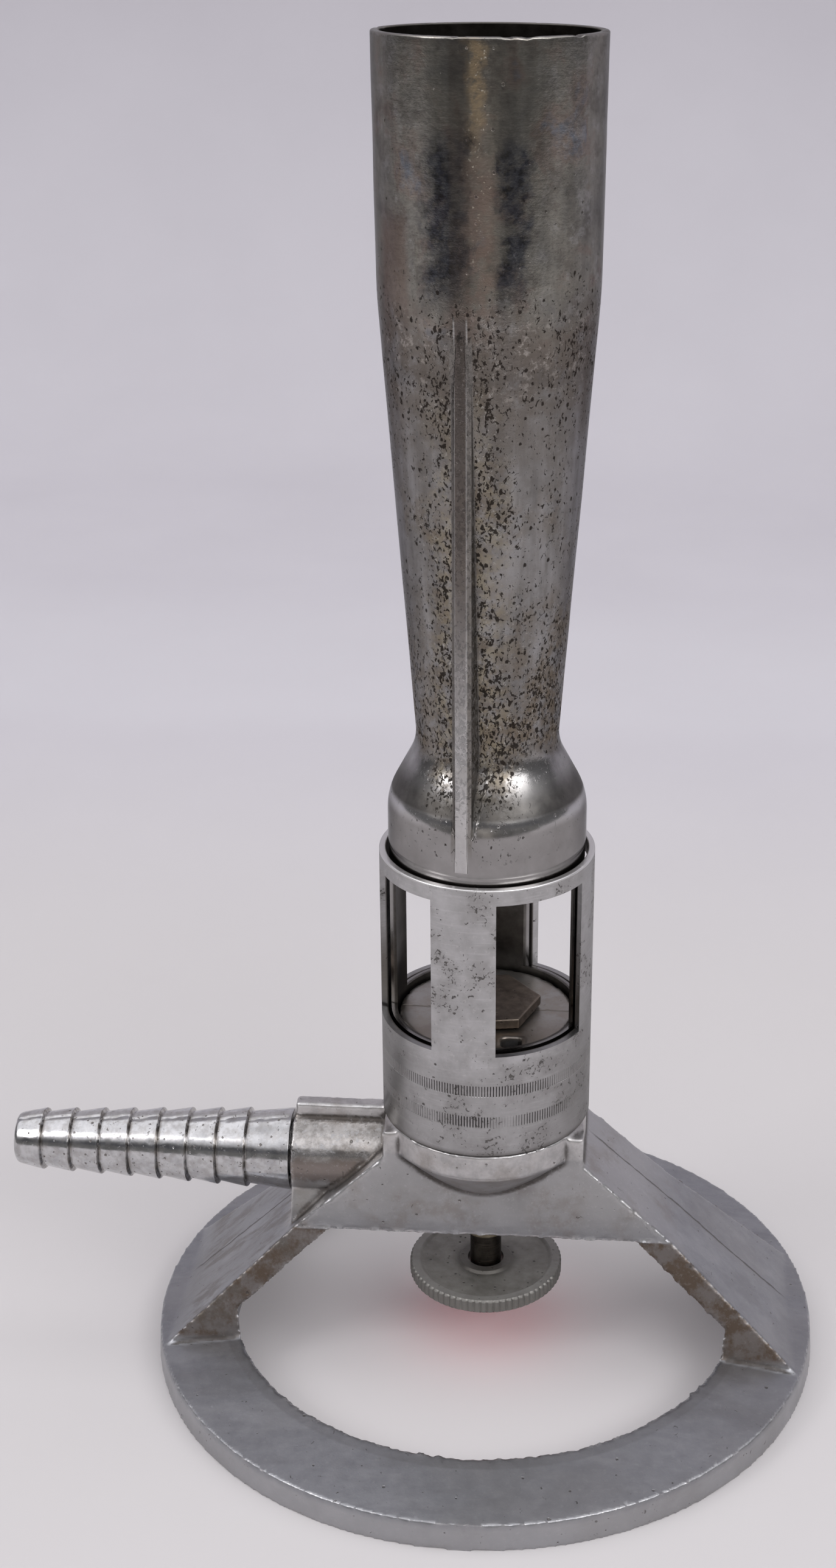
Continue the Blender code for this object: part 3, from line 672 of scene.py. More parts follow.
    # Corrosion pits
    body = f.rise(wander, 142, 134) * f.rise(f.z, 77, 83) * (1 - smooth_bell)
    threshold = 0.65 - dense * body * 0.125
    spots = (f.blots(0.42, threshold, 0.03, (1, 1, 0.7), 3) * f.rise(f.z, 73, 74.5) * f.rise(wander, 146, 138)
             * (1.0 - smooth_bell * 0.8))
    dots = f.pits(0.62, (dense * 0.55 + 0.12) * body, 0.42, (1, 1, 0.75), 9)
    sparse = f.pits(0.9, 0.16, 0.24, offset=15)
    pits = f.most(f.most(spots, dots), sparse * f.rise(f.z, 73, 75) * 0.7)
    f.coat(pits * 0.9, (0.035, 0.028, 0.024))
    # Grain picked out bright between the pits
    glint = f.rise(fine, 0.56, 0.68) * (1 - pits) * dense * body
    f.coat(glint * 0.55, (0.62, 0.59, 0.55))
    # The ribs' faces are dull above and rubbed bright below; their side walls are painted dark, as painted shade
    outward = abs(f.x * sin(RIB_BEARING) - f.y * cos(RIB_BEARING))
    rib_height = f.rise(f.z, 137.2, 136.2)
    face = f.rise(outward, 12.05, 12.2) * f.rise(from_rib, 0.85, 0.74) * rib_height
    dull = f.blend(f.rise(f.z, 112, 84), (0.15, 0.13, 0.12), (0.6, 0.59, 0.59))
    f.coat(face * 0.88, f.blend(fine * 0.35, dull, (0.1, 0.09, 0.085)))
    lip = face * f.rise(from_rib, 0.56, 0.68)
    f.coat(lip * 0.6, (0.55, 0.54, 0.53))
    # Painted shade on the ribs' side walls
    wall = f.rise(outward, 12.2, 12.06) * f.rise(from_rib, 1.35, 1.2) * rib_height * f.rise(f.z, 73.5, 76)
    f.coat(wall * 0.85, f.blend(fine, (0.13, 0.12, 0.11), (0.3, 0.285, 0.27)))
    # Worn rim, and black bore
    rim = f.rise(f.z + (f.clouds(0.9, 4) - 0.5) * 0.9, 164.62, 164.9)
    f.coat(rim * 0.6, (0.5, 0.48, 0.45))
    inside = f.rise(f.radius, 11.95, 11.78) * f.within(f.z, 128, 136, 164.8, 165.1)
    f.coat(inside, f.ramp(mottle, (0.35, (0.008, 0.007, 0.006)), (0.7, (0.025, 0.022, 0.02))))
    # The skirt is dull inside
    lining = f.rise(f.radius, 11.75, 11.45) * f.rise(f.z, 84, 80)
    f.coat(lining * 0.85, f.ramp(mottle, (0.35, (0.06, 0.055, 0.05)), (0.7, (0.15, 0.14, 0.125))))
    f.set("Specular Tint", (0.5, 0.5, 0.5, 1))
    plain = 1.0 - bell
    rough = 0.1 + plain * 0.09 + mottle * 0.1 + pits * 0.35 + stain * 0.2 + inside * 0.4 + lining * 0.25
    scratches = f.clouds(0.45, 3, 0.6, stretch=(0.12, 0.12, 1), offset=53)
    grain = (mottle * 0.2 + scratches * 0.1 + fine * 0.22) * (0.25 + plain * 0.75)
    height = pits * -1.0 + grain + glint * 0.3
    return f.complete(rough, height, 0.08)


# ---- air sleeve

TICKS = 232
TICK_COLUMNS = 5
TICK_BANDS = [(38.5, 40.05), (42.8, 44.4)]


def make_sleeve():
    outer, bore = 13.23, 12.4
    corners = [(outer, SLEEVE_TOP, 0.25, 2.0), (outer, 68.7, 0, 4.0), (outer, 48.4, 0, 2.0)]
    for low, high in reversed(TICK_BANDS):
        corners += [(outer, high, 0, 0.1), (outer, high - 0.1, 0, 0.7), (outer, low + 0.1, 0, 0.1),
                    (outer, low, 0, 1.5)]
    corners += [(outer, SKIRT_BOTTOM, 0.15, 1.0), (bore, SKIRT_BOTTOM, 0.1, 6.0), (bore, SLEEVE_TOP, 0.1, 1.0)]
    columns = TICKS * TICK_COLUMNS
    made = lathe("sleeve", rounded_loop(corners), columns)
    points = points_of(made)
    column = np.arange(len(points)) % columns
    radial = from_axis(points)
    wear = ripple(points, 5 * MM, 3, 2.0) + 0.5 * ripple(points, 0.7 * MM, 1, 8.0)
    groove = np.zeros(len(points))
    for number, (low, high) in enumerate(TICK_BANDS):
        inside = (points[:, 2] > (low + 0.05) * MM) & (points[:, 2] < (high - 0.05) * MM) & (radial > 13.1 * MM)
        strength = np.clip((0.95 if number else 0.7) + 0.6 * wear, 0.15, 1.0)
        groove += np.where(inside & (column % TICK_COLUMNS == 0), strength, 0.0)
    draw_in(points, 1 - groove * 0.13 * MM / radial)
    set_points(made, points)
    set_attribute(made, "tick", groove)
    combine(made, "DIFFERENCE", window_cutters(*SLEEVE_WINDOW))
    return finished(made, satin_sleeve(), "sleeve", ["air_sleeve"], 25)


def satin_sleeve():
    f = Finish("satin_sleeve_worn", (0.5, 0.5, 0.51), 0.36)
    mottle = f.clouds(3.5, 6, 0.64, offset=2)
    fine = f.clouds(0.5, 4, 0.7, offset=63)
    f.color = f.ramp(mottle, (0.3, (0.38, 0.375, 0.375)), (0.7, (0.53, 0.525, 0.53)))
    around = f.clouds(0.8, 3, 0.5, stretch=(0.25, 0.25, 3), offset=5)
    f.coat(f.rise(around, 0.52, 0.72) * 0.25, (0.66, 0.655, 0.66))
    gather = f.patches(4, 0.46, 0.64, detail=3, roughness=0.5, offset=19)
    threshold = 0.69 - gather * 0.115
    spots = f.blots(0.48, threshold, 0.03, offset=2)
    pits = f.most(spots, f.pits(0.8, gather * 0.3 + 0.05, 0.32, offset=7))
    f.coat(pits * 0.8, (0.08, 0.07, 0.065))
    f.coat(gather * 0.28, (0.25, 0.235, 0.225))
    f.coat(f.rise(fine, 0.58, 0.7) * 0.3, (0.7, 0.69, 0.68))
    # Painted shade in the knurl's grooves: they are coloured near black
    tick = f.attribute("tick")
    f.coat(tick * 0.9, (0.05, 0.045, 0.04))
    band_grime = sum([f.within(f.z, low - 0.2, low + 0.1, high - 0.1, high + 0.2) for low,
                      high in TICK_BANDS])
    f.coat(band_grime * 0.06, (0.16, 0.15, 0.145))
    dulled = f.rise(f.z + mottle * 12, 56, 50) * 0.22
    f.coat(dulled, (0.22, 0.21, 0.205))
    # The top rim's bright band is partly wear and partly a painted highlight along the rim
    worn = f.rise(f.z, SLEEVE_TOP - 0.26, SLEEVE_TOP - 0.16) * 0.9
    f.coat(worn, (0.9, 0.89, 0.88))
    # Painted shade: low down, the sleeve is darkened towards its left and right sides, beside the arms
    painted_side_shade = f.rise(abs(f.x), 6.5, 11.5) * f.rise(f.z, 58, 44)
    f.coat(painted_side_shade * (0.22 + mottle * 0.35), (0.18, 0.175, 0.165))
    grime = f.rise(f.z, SKIRT_BOTTOM + 0.8, SKIRT_BOTTOM) * 0.6
    f.coat(grime, (0.1, 0.09, 0.08))
    # Inside, dull and brown with soot
    inner = f.rise(f.radius, 12.6, 12.45)
    f.coat(inner * 0.7, (0.12, 0.1, 0.085))
    f.set("Specular Tint", (0.6, 0.6, 0.6, 1))
    height = pits * -1.0 + mottle * 0.2 + around * 0.1 + fine * 0.18
    return f.complete(0.26 + mottle * 0.14 + pits * 0.3 + gather * 0.08 + inner * 0.2, height, 0.06)


# ---- base casting

RING_RADIUS = 43.55
PARTING_OFFSET = 2.0


def make_base():
    made = cast_copy("base", "base_casting", 0.3 * MM, 1)
    sharp = convexity(made, 3)
    wide = convexity(made, 9)
    edge = smoothstep(sharp, 0.05 * MM, 0.13 * MM)
    points, normals = points_of(made), normals_of(made)
    place = (points - np.array(AXIS)) / MM
    reach = np.hypot(place[:, 0], place[:, 1])
    hollow = smoothstep(-wide, 0.02 * MM, 0.11 * MM)
    # Dirt holds where the legs' faces meet the ring, but is wiped off the arms' backs
    hollow *= np.where(reach > 25, smoothstep(np.abs(normals[:, 1]), 0.15, 0.45), 1.0)
    # Cast skin, hand-worn unevenness, and chipped and burred edges
    skin = ripple(points, 6 * MM, 2, 1.0) * 0.05 + ripple(points, 1.3 * MM, 2, 5.0) * 0.016
    chips = ripple(points, 1.1 * MM, 3, 9.0)
    chips = np.where(chips > 0, chips * 0.1, chips * 0.16) * edge
    # Burrs stand along the lower edges of the plates and round the hole
    burr_zone = smoothstep(place[:, 2], 20.4, 19.5) * smoothstep(place[:, 2], 3.0, 4.5) * (reach < 42)
    burrs = np.clip(ripple(points, 0.9 * MM, 3, 13.0) + 0.1, 0, 1) * 0.22 * edge * burr_zone
    # A ragged burr runs along the plates' lower edge, where the arms' faces turn
    knee = (smoothstep(np.abs(place[:, 2] - 19.35), 0.32, 0.1) * (np.abs(normals[:, 1]) > 0.6)
            * (np.abs(place[:, 0]) < 24.5))
    burrs = np.maximum(burrs, np.clip(ripple(points, 1.4 * MM, 3, 17.0) + 0.35, 0, 1) * 0.28 * knee)
    edge = np.maximum(edge, 0.8 * knee)
    functional = smoothstep(place[:, 2], 0.0, 0.8)
    keep = 1 - ((reach < 10.5) & (place[:, 2] > 21)).astype(float)
    lift = (skin + chips + burrs) * functional * keep * MM
    points = points + normals * lift[:, None]
    points[:, 2] = np.maximum(points[:, 2], 0)
    draw_in(points, np.minimum(1, RING_RADIUS * MM / from_axis(points)))
    set_points(made, points)
    set_attribute(made, "edge", edge)
    set_attribute(made, "hollow", hollow)
    leg = (np.abs(normals[:, 1]) > 0.5) & (reach > 17) & (place[:, 2] < 19.2)
    set_attribute(made, "leg", leg * smoothstep(place[:, 2], 4.2, 5.4))
    thin = made.modifiers.new("Thin", "DECIMATE")
    thin.ratio = min(1.0, MOST_FACES / (2 * len(made.data.polygons)))
    baked(made)
    return finished(made, die_cast_zinc(), "base", ["base_casting"], 60)


def die_cast_zinc():
    f = Finish("die_cast_zinc_worn", (0.36, 0.37, 0.39), 0.45)
    broad = f.clouds(14, 3, 0.5, offset=1)
    mottle = f.clouds(1.8, 6, 0.68, offset=6)
    fine = f.clouds(0.5, 4, 0.7, offset=66)
    upper = f.rise(f.z, 17, 24)
    f.color = f.ramp(mottle, (0.3, (0.3, 0.305, 0.325)), (0.52, (0.335, 0.34, 0.36)), (0.75, (0.375, 0.375, 0.395)))
    brushed = f.clouds(7, 5, 0.62, stretch=(0.22, 1, 1), offset=111)
    f.coat(f.rise(brushed, 0.5, 0.64) * 0.35, (0.22, 0.218, 0.225))
    f.coat(f.rise(brushed, 0.48, 0.36) * 0.35, (0.46, 0.46, 0.48))
    f.coat(upper * 0.6, (0.52, 0.51, 0.505))
    side = f.rise(f.z, 3.4, 2.6)
    f.coat(side * 0.35, (0.52, 0.51, 0.515))
    f.coat(f.rise(broad, 0.45, 0.7) * 0.3, (0.3, 0.29, 0.285))
    edge = f.attribute("edge")
    hollow = f.attribute("hollow")
    # Rubbed bright: the collar under the sleeve, and the boss; under the boss, a brown band that is partly stain and
    # partly painted shade, and painted light on the web below
    collar = f.rise(f.z, 30.4, 31) * f.rise(f.radius, 12.4, 12.75) * f.rise(f.z, 34.4, 34)
    along_boss = f.rise(f.x, -11.5, -13.5)
    height = f.z + (mottle - 0.5) * 2.5
    along_boss = along_boss * f.rise(abs(f.y), 6.3, 5.8)
    boss = along_boss * f.rise(height, 27.6, 28.8) * f.rise(f.z, 31.9, 31.3)
    # The boss's underside: brown stain and painted shade
    boss_underside_stain_and_shade = along_boss * f.within(height, 24.2, 25.4, 27.4, 28.8)
    f.coat(boss_underside_stain_and_shade * 0.75, (0.2, 0.155, 0.13))
    # Painted light: the web under the boss is lightened
    web_painted_light = along_boss * f.rise(height, 25.2, 24) * f.rise(f.z, 17, 19)
    f.coat(web_painted_light * 0.6, (0.6, 0.585, 0.575))
    f.coat(collar * 0.7, f.ramp(mottle, (0.35, (0.46, 0.45, 0.445)), (0.6, (0.68, 0.66, 0.65))))
    rubbed = boss * f.patches(0.9, 0.64, 0.54, offset=39)
    f.coat(rubbed * 0.8, f.ramp(mottle, (0.38, (0.28, 0.26, 0.24)), (0.6, (0.62, 0.595, 0.575))))
    ragged = (f.clouds(1, 4, 0.7, offset=37) - 0.5) * 1.4
    ridge_foot = along_boss * f.rise(abs(f.z - 31.7 + ragged), 0.35, 0.1)
    f.coat(ridge_foot * 0.7, (0.1, 0.085, 0.075))
    # The legs' faces are tarnished brown and painted darker, more towards the right, as painted shade; smears under
    # the arch, and dark in the corners
    leg = f.attribute("leg")
    blotch = f.patches(3, 0.4, 0.62, detail=6, offset=14)
    # Painted shade: darker towards the right
    right = 0.74 + f.rise(f.x, -5, 15) * 0.12
    tarnish_and_shade = leg * (blotch * 0.6 + right)
    f.coat(tarnish_and_shade * 0.75, (0.15, 0.115, 0.09))
    smears = (f.patches(2.6, 0.45, 0.62, stretch=(0.35, 1, 0.35), offset=77) * f.rise(f.z, 4.5, 7)
              * f.rise(f.x, -15, -24) * f.rise(f.z, 22, 18))
    f.coat(smears * 0.65, (0.17, 0.155, 0.14))
    stains = blotch * f.rise(f.z, 16, 22) * f.patches(7, 0.46, 0.62, detail=3, roughness=0.5, offset=71)
    f.coat(stains * 0.35, (0.24, 0.19, 0.15))
    grime = hollow * (0.55 + mottle * 0.6)
    f.coat(grime, (0.075, 0.065, 0.058))
    # Dark specks, and grain
    specks = f.most(f.pits(1.1, 0.14, 0.2, offset=4), f.blots(0.6, 0.695, 0.03, offset=12))
    f.coat(specks * 0.7, (0.12, 0.11, 0.1))
    f.coat(f.rise(fine, 0.56, 0.7) * (0.1 + upper * 0.15), (0.66, 0.66, 0.66))
    # A darker band round the hole's rounded edge
    hole = f.within(f.radius, 32, 33, 34.9, 35.3) * f.rise(f.z, 7, 5.5)
    f.coat(hole * 0.3, (0.2, 0.195, 0.195))
    # Bare metal along the edges, broken up
    break_up = f.patches(1.6, 0.47, 0.58, roughness=0.75, offset=24)
    rim = f.rise(f.radius, 42.6, 43.1) * f.rise(f.z, 2.6, 3.2)
    bare = edge * (1.0 - hollow) * (1.0 - leg * 0.6)
    chip = rim * f.patches(0.8, 0.58, 0.64, detail=3, roughness=0.6, offset=29)
    worn = f.maths("MINIMUM", bare * (0.04 + break_up * 0.7 + rim * 0.2 + chip), 1)
    f.coat(worn * 0.85, (0.8, 0.8, 0.8))
    # Parting line along the arms' tops
    wander = (f.clouds(1.5, 3, 0.5, offset=34) - 0.5) * 0.7
    across = abs(f.y - PARTING_OFFSET + wander)
    arm = f.rise(abs(f.x), 13, 15) * f.rise(f.z, 4, 6) * f.rise(f.x, -18, -24)
    arm_right = f.rise(f.x, 13, 15) * f.rise(f.z, 4, 6)
    top_line = f.rise(abs(f.y + wander), 0.2, 0.08) * f.rise(f.radius, 11.2, 10.9) * f.rise(f.z, 47, 47.6)
    line = f.rise(across, 0.26, 0.1) * (arm + arm_right) + top_line
    f.coat(line * 0.75, (0.1, 0.09, 0.085))
    # The pillar's top is stained brown in front of the jet
    top = f.rise(f.z, 47.2, 47.7)
    f.coat(top * (0.35 + blotch * 0.4), (0.33, 0.295, 0.25))
    stained = top * f.rise(f.y + blotch * 3, -1, -5)
    f.coat(stained * 0.55, (0.22, 0.175, 0.135))
    f.set("Metallic", 0.95)
    height = mottle * 0.25 + fine * 0.12 + brushed * 0.3 - specks * 0.8 - line * 0.8
    return f.complete(0.31 + mottle * 0.12 + hollow * 0.15 - worn * 0.12 - rubbed * 0.2 + tarnish_and_shade * 0.1, height, 0.09)


# ---- hose barb

BARB_TIP = 61.9
CREST_COUNT = 8
FIRST_CREST, CREST_PITCH = 58.34, 3.875
FIRST_CREST_RADIUS, LAST_CREST_RADIUS = 4.02, 5.17
BARB_SHOULDER, SPIGOT_END = 25.25, 17.8
SPIGOT_RADIUS, BARB_BORE = 3.5, 2.0


def make_barb():
    step = 0.35
    corners = [(3.25, BARB_TIP, 0.8, step)]
    growth = (LAST_CREST_RADIUS - FIRST_CREST_RADIUS) / (CREST_COUNT - 1)
    for index in range(CREST_COUNT):
        crest, radius = FIRST_CREST - index * CREST_PITCH, FIRST_CREST_RADIUS + index * growth
        corners += [(radius, crest, 0.1, 0.12), (radius - 0.07, crest - 0.12, 0.03, 0.12)]
        corners += [(radius - 0.48, crest - 0.3, 0.1, step)]
    corners += [(5.35, BARB_SHOULDER, 0.12, 0.5), (SPIGOT_RADIUS, BARB_SHOULDER, 0.05, 1.0)]
    corners += [(SPIGOT_RADIUS, SPIGOT_END, 0.1, 1.0), (BARB_BORE, SPIGOT_END, 0.1, 3.0)]
    corners.append((BARB_BORE, BARB_TIP, 0.35, 0.3))
    made = lathe("barb", rounded_loop(corners), 128, (0, 0, 0))
    made.data.transform(Matrix.Translation((AXIS.x, 0, INLET_HEIGHT)) @ Matrix.Rotation(-pi / 2, 4, "Y"))
    points = points_of(made)
    across, up = points[:, 1], points[:, 2] - INLET_HEIGHT
    radius = np.hypot(across, up)
    out = (points[:, 0] < AXIS.x - 25.6 * MM) & (radius > 2.6 * MM)
    # The mould's two halves met on top and underneath, where a narrow flat band is left
    half_band = (0.6 + 0.16 * ripple(points, 1.2 * MM, 2, 3.0)) * MM
    band = smoothstep(np.abs(across), half_band + 0.12 * MM, half_band) * out
    grow = 1 + band * 0.1 * MM / np.maximum(radius, 1 * MM)
    dents = np.clip(ripple(points, 1.6 * MM, 3, 7.0) - 0.25, 0, 1) * 0.06 * MM * out
    scale = grow - dents / np.maximum(radius, 1 * MM)
    points[:, 1] = across * scale
    points[:, 2] = INLET_HEIGHT + up * scale
    set_points(made, points)
    set_attribute(made, "band", band)
    return finished(made, plated_barb(), "base", ["hose_barb"], 30)


def plated_barb():
    f = Finish("plated_barb_worn", (0.66, 0.66, 0.67), 0.16)
    mottle = f.clouds(1.8, 5, 0.6, offset=8)
    f.color = f.ramp(mottle, (0.3, (0.44, 0.44, 0.45)), (0.6, (0.62, 0.62, 0.63)))
    band = f.attribute("band")
    f.coat(band * 0.6, (0.7, 0.69, 0.675))
    # Tarnish lies behind each crest
    along = f.maths("MODULO", CREST_PITCH * 40 - FIRST_CREST - f.x, CREST_PITCH)
    behind = f.rise(along, CREST_PITCH - 0.75, CREST_PITCH - 0.25) * f.within(f.x, -61, -59, -30.5, -29.5)
    spotty = f.patches(1.1, 0.42, 0.62, roughness=0.65, offset=18)
    f.coat(behind * (0.35 + spotty * 0.5), (0.13, 0.11, 0.09))
    f.coat(spotty * 0.38, (0.33, 0.31, 0.29))
    pits = f.most(f.pits(0.7, 0.25, 0.34, offset=6), f.blots(0.6, 0.66, 0.03, offset=16))
    f.coat(pits * 0.7, (0.1, 0.08, 0.065))
    height = pits * -1 + mottle * 0.2 + f.clouds(0.5, 3, offset=28) * 0.12
    return f.complete(0.08 + mottle * 0.12 + band * 0.16 + pits * 0.3 + spotty * 0.08, height, 0.04)


# ---- gas jet, knob and valve

TEETH = 72
KNOB_RADIUS, KNOB_BOTTOM, KNOB_TOP = 10.06, 8.56, 10.46


def dark_metal(name, dark, light, roughness, pit_share=0.15, size=1.6, metallic=1.0):
    """A dull mottled metal with a few pits."""
    f = Finish(name, light, roughness, metallic)
    mottle = f.clouds(size, 6, 0.62, offset=4)
    f.color = f.ramp(mottle, (0.3, dark), (0.72, light))
    pits = f.pits(0.6, pit_share, 0.36, offset=2)
    f.coat(pits * 0.7, tuple(0.3 * c for c in dark))
    return f, mottle, pits


def make_jet():
    made = cast_copy("jet", "gas_jet", 0.13 * MM, 3)
    points = points_of(made)
    set_attribute(made, "edge", smoothstep(convexity(made, 3), 0.02 * MM, 0.06 * MM))
    set_points(made, points + normals_of(made) * (ripple(points, 0.8 * MM, 2, 2.0) * 0.02 * MM)[:, None])
    f, mottle, pits = dark_metal("jet_brass_tarnished", (0.15, 0.12, 0.1), (0.3, 0.25, 0.205), 0.5)
    f.coat(f.attribute("edge") * (0.1 + mottle * 0.5), (0.45, 0.39, 0.31))
    f.complete(0.4 + mottle * 0.2 + pits * 0.2, mottle - pits, 0.06)
    return finished(made, f, "base", ["gas_jet"], 60)


def make_knob():
    dish, inner = KNOB_TOP - 0.35, 8.85
    loop = rounded_loop([
        (2.35, KNOB_TOP, 0.08, 0.5), (3.4, KNOB_TOP, 0.12, 0.2), (3.75, dish, 0.2, 0.6),
        (inner - 0.45, dish, 0.3, 0.2),
        (inner, KNOB_TOP, 0.12, 0.4), (KNOB_RADIUS - 0.25, KNOB_TOP, 0.15, 0.1),
        (KNOB_RADIUS, KNOB_TOP - 0.25, 0.08, 0.4), (KNOB_RADIUS, KNOB_BOTTOM + 0.25, 0.08, 0.1),
        (KNOB_RADIUS - 0.25, KNOB_BOTTOM, 0.15, 0.8), (2.35, KNOB_BOTTOM, 0.08, 0.5),
    ])
    per_tooth = 8
    made = lathe("knob", loop, TEETH * per_tooth)
    points = points_of(made)
    column = np.arange(len(points)) % (TEETH * per_tooth)
    radial = from_axis(points)
    phase = np.abs((column % per_tooth) / per_tooth - 0.5) * 2
    worn = np.clip(0.75 + 0.5 * ripple(points, 3 * MM, 2, 3.0), 0.3, 1.0)
    cut = 0.22 * MM * worn * smoothstep(phase, 0.35, 1.0) * (radial > 9.75 * MM)
    nick = 0.1 * MM * np.clip(ripple(points, 0.9 * MM, 2, 6.0) - 0.1, 0, 1) * (radial > 9.4 * MM)
    draw_in(points, 1 - (cut + nick) / radial)
    points[:, 2] -= nick * (points[:, 2] > 9.8 * MM)
    set_points(made, points)
    f, mottle, pits = dark_metal("knob_zinc_worn", (0.215, 0.206, 0.186), (0.35, 0.34, 0.31), 0.55, 0.22, 2.0)
    raised = f.rise(f.radius, inner - 0.3, inner + 0.1)
    f.coat(raised * (0.25 + mottle * 0.4), (0.44, 0.43, 0.41))
    tooth_dirt = f.rise(f.radius, 9.75, 9.95) * 0.55
    f.coat(tooth_dirt, (0.12, 0.115, 0.105))
    grime = f.rise(f.radius, 4.8, 3.4) * 0.5
    f.coat(grime, (0.07, 0.06, 0.055))
    # The underside keeps its red lacquer
    under = f.rise(f.z, KNOB_BOTTOM + 0.12, KNOB_BOTTOM + 0.04) * f.rise(f.radius, 9.6, 9.2)
    red = f.ramp(mottle, (0.3, (0.8, 0.02, 0.04)), (0.7, (0.92, 0.04, 0.07)))
    f.coat(under, red)
    f.set("Metallic", (1 - under) * 0.6)
    f.complete(0.42 + mottle * 0.2 + pits * 0.15, mottle - pits * 1.2 + f.clouds(0.4, 3) * 0.3, 0.07)
    return finished(made, f, "knob", ["valve_knob"], 40)


def make_stem():
    loop = rounded_loop([
        (0.25, 31.2, 0.05, 0.5), (2.05, 28.1, 0.2, 0.6), (2.05, 8.9, 0.25, 0.5), (0.25, 8.9, 0.0, 8.0),
    ])
    made = lathe("spindle_rod", loop, 48)
    f, mottle, pits = dark_metal("stem_steel_oiled", (0.035, 0.03, 0.026), (0.09, 0.08, 0.07), 0.4)
    rings = f.clouds(0.5, 3, 0.6, stretch=(0.1, 0.1, 2), offset=3)
    f.coat(f.rise(rings, 0.55, 0.75) * 0.5, (0.17, 0.14, 0.11))
    f.complete(0.3 + mottle * 0.25, rings - pits, 0.05)
    return finished(made, f, "spindle", ["valve_stem"], 30)


def make_small_parts():
    """The nut, its packing and the jet's gasket, rounded and remeshed from their solids."""
    looks = [("packing_nut", "gland_nut", "nut_brass", (0.22, 0.19, 0.14), (0.45, 0.4, 0.3), 0.42, 1.0, 0.11 * MM),
             ("stem_packing", "gland_packing", "packing_graphite", (0.03, 0.03, 0.03), (0.07, 0.07, 0.07), 0.7, 0.0,
              0.09 * MM), ("jet_gasket", "jet_seal", "gasket_fibre", (0.14, 0.055, 0.035), (0.28, 0.12, 0.08), 0.85,
                           0.0, 0.09 * MM),]
    for node, name, slot, dark, light, roughness, metallic, voxel in looks:
        made = cast_copy(name, node, voxel, 2)
        f, mottle, pits = dark_metal(f"{slot}_used", dark, light, roughness, metallic=metallic)
        f.complete(roughness - 0.08 + mottle * 0.16, mottle - pits, 0.05)
        finished(made, f, "base", [node], 50)


def make_grid():
    """The flame grid: a thin band and its half-lapped strips, scaled by heat."""
    f, mottle, pits = dark_metal("grid_nickel_scaled", (0.07, 0.06, 0.05), (0.22, 0.2, 0.18), 0.55, 0.3, 1.2)
    f.complete(0.42 + mottle * 0.25, mottle - pits, 0.06)
    for node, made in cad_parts.items():
        if node.startswith("grid_"):
            for slot in made.material_slots:
                slot.material = f.made
            bevel = made.modifiers.new("Edges", "BEVEL")
            bevel.width = 0.06 * MM
            bevel.segments = 2
            bevel.limit_method = "ANGLE"
            bevel.angle_limit = radians(40)


# ---- stage


def make_stage():
    """A pale paper sweep: a level floor that curves up behind into a wall."""
    floor_back, wall_top, bend, half_width = 0.42, 1.2, 0.16, 1.6
    profile = [(-1.6, 0.0), (floor_back, 0.0)]
    profile += [(floor_back + bend * sin(t), bend * (1 - cos(t))) for t in np.linspace(0, pi / 2, 25)[1:]]
    profile.append((floor_back + bend, wall_top))
    vertices = [(x, y, z) for y, z in profile for x in (-half_width, half_width)]
    faces = [(2 * i, 2 * i + 1, 2 * i + 3, 2 * i + 2) for i in range(len(profile) - 1)]
    made = object_from("paper_sweep", vertices, faces)
    made.data.shade_smooth()
    f = Finish("pale_paper", (0.74, 0.72, 0.75), 0.75, 0.0)
    f.set("Specular IOR Level", 0.2)
    cloudy = f.clouds(60, 3, 0.5)
    wall = f.ramp(cloudy, (0.3, (0.7, 0.68, 0.72)), (0.7, (0.73, 0.71, 0.75)))
    paper = f.blend(f.rise(f.y, 80, 240), f.blend(0.5, wall, (0.76, 0.735, 0.695)), wall)
    # Painted light: a lighter band across the floor towards the back
    band = f.within(f.y, 205, 230, 270, 330)
    f.set("Base Color", f.blend(band * 0.35, paper, (0.8, 0.79, 0.82)))
    made.data.materials.append(f.made)


# Brightness of the sky, as (place, level): 0.5 is the horizon and 1 is overhead
WORLD_LEVELS = [(0.37, 0.13), (0.5, 0.7), (0.74, 1.28), (0.88, 1.28), (0.96, 0.75)]
ROOM_MIDDLE, ROOM_SIDES, ROOM_UPPER = (0.5, 0.47, 0.44), (0.22, 0.215, 0.21), (0.12, 0.12, 0.13)
# Name, bearing from the front towards +X, height angle, distance, size, power and colour
LIGHTS = [
    ("right_window", 42, 31, 0.8, (0.55, 0.24), 1.5, (1, 0.99, 1)),
    ("left_window", -58, 31, 0.8, (0.26, 0.26), 0.9, (1, 0.98, 1)),
]


def area_light(name, place, target, size, power, color):
    data = bpy.data.lights.new(name, "AREA")
    data.shape = "RECTANGLE"
    data.size, data.size_y = size
    data.energy = power
    data.color = color
    made = linked(name, data)
    made.location = place
    made.rotation_euler = (target - place).to_track_quat("-Z", "Y").to_euler()


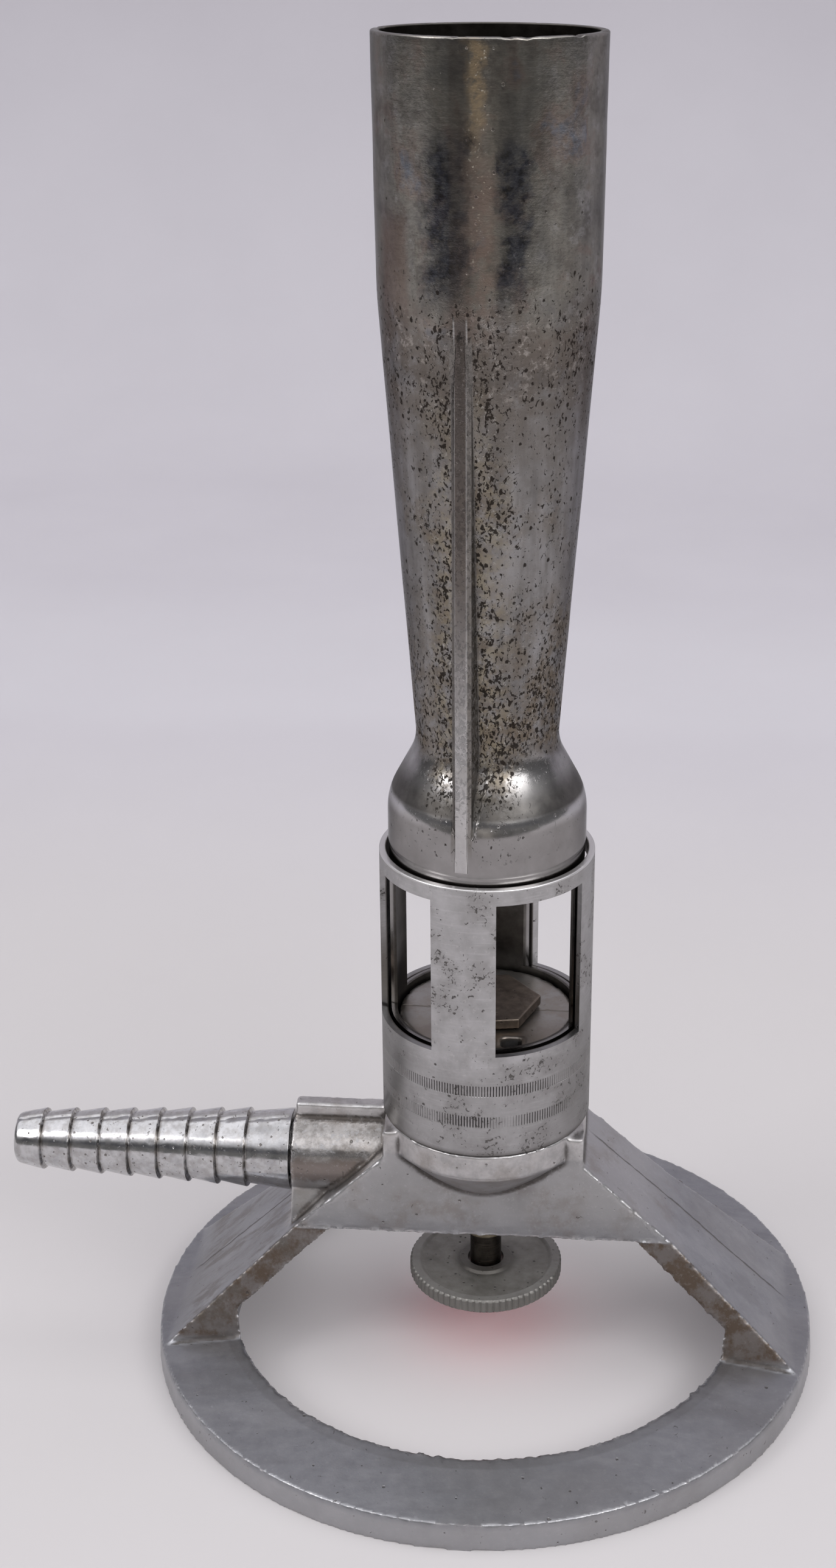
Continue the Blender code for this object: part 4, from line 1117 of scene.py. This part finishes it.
def make_room():
    """The dim room behind the camera: only what shines in the metal, and neither seen nor casting shadows."""
    near, low, high, half_width = -0.45, 0.0, 0.22, 0.9
    corners = [(-half_width, near, low), (half_width, near, low), (half_width, near, high), (-half_width, near, high)]
    made = object_from("dim_room", corners, [(0, 1, 2, 3)])
    f = Finish("dim_room_glow", (0, 0, 0), 1.0, 0.0)
    f.set("Specular IOR Level", 0)
    sideways = abs(f.x)
    room = f.ramp(f.rise(sideways, 30, 200), (0, ROOM_MIDDLE), (1, ROOM_SIDES))
    room = f.blend(f.rise(f.z, 118, 140), room, ROOM_UPPER)
    furniture = f.patches(90, 0.4, 0.6, detail=3, stretch=(1, 1, 0.3), offset=3)
    f.set("Emission Color", f.blend(furniture * 0.55, room, (0.06, 0.06, 0.065)))
    f.set("Emission Strength", 1)
    made.data.materials.append(f.made)
    made.visible_camera = False
    made.visible_diffuse = False
    made.visible_shadow = False


def make_lights():
    world = bpy.data.worlds.new("soft_room")
    world.use_nodes = True
    tree = world.node_tree
    background = tree.nodes["Background"]
    direction = tree.nodes.new("ShaderNodeSeparateXYZ")
    tree.links.new(tree.nodes.new("ShaderNodeTexCoord").outputs["Generated"], direction.inputs[0])
    ramp = tree.nodes.new("ShaderNodeValToRGB")
    tree.links.new(direction.outputs[2], ramp.inputs[0])
    tree.links.new(ramp.outputs[0], background.inputs["Color"])
    fill_ramp(ramp.color_ramp.elements,
              [(place, (level * 0.98, level * 0.97, level)) for place, level in WORLD_LEVELS])
    bpy.context.scene.world = world
    target = AXIS + Vector((0, 0, 0.08))
    for name, bearing, rise, reach, size, power, color in LIGHTS:
        bearing, rise = radians(bearing), radians(rise)
        way = Vector((sin(bearing) * cos(rise), -cos(bearing) * cos(rise), sin(rise)))
        area_light(name, target + way * reach, target, size, power, color)


def make_camera():
    data = bpy.data.cameras.new("view")
    data.lens = CAMERA_LENS
    data.sensor_width = 36
    data.shift_x = CAMERA_SHIFT
    data.clip_start = 0.01
    made = linked("view", data)
    turn = Matrix.Rotation(CAMERA_BEARING, 4, "Z") @ Matrix.Rotation(pi / 2 - CAMERA_DIP, 4, "X")
    turn = turn @ Matrix.Rotation(CAMERA_ROLL, 4, "Z")
    place = AXIS + Vector((CAMERA_REACH * sin(CAMERA_BEARING), -CAMERA_REACH * cos(CAMERA_BEARING), CAMERA_HEIGHT))
    made.matrix_world = Matrix.Translation(place) @ turn
    bpy.context.scene.camera = made


noise.seed_set(SEED)
bpy.context.scene.view_settings.view_transform = "Standard"
make_barrel()
make_sleeve()
make_base()
make_barb()
make_jet()
make_knob()
make_stem()
make_small_parts()
make_grid()
make_stage()
make_room()
make_lights()
make_camera()
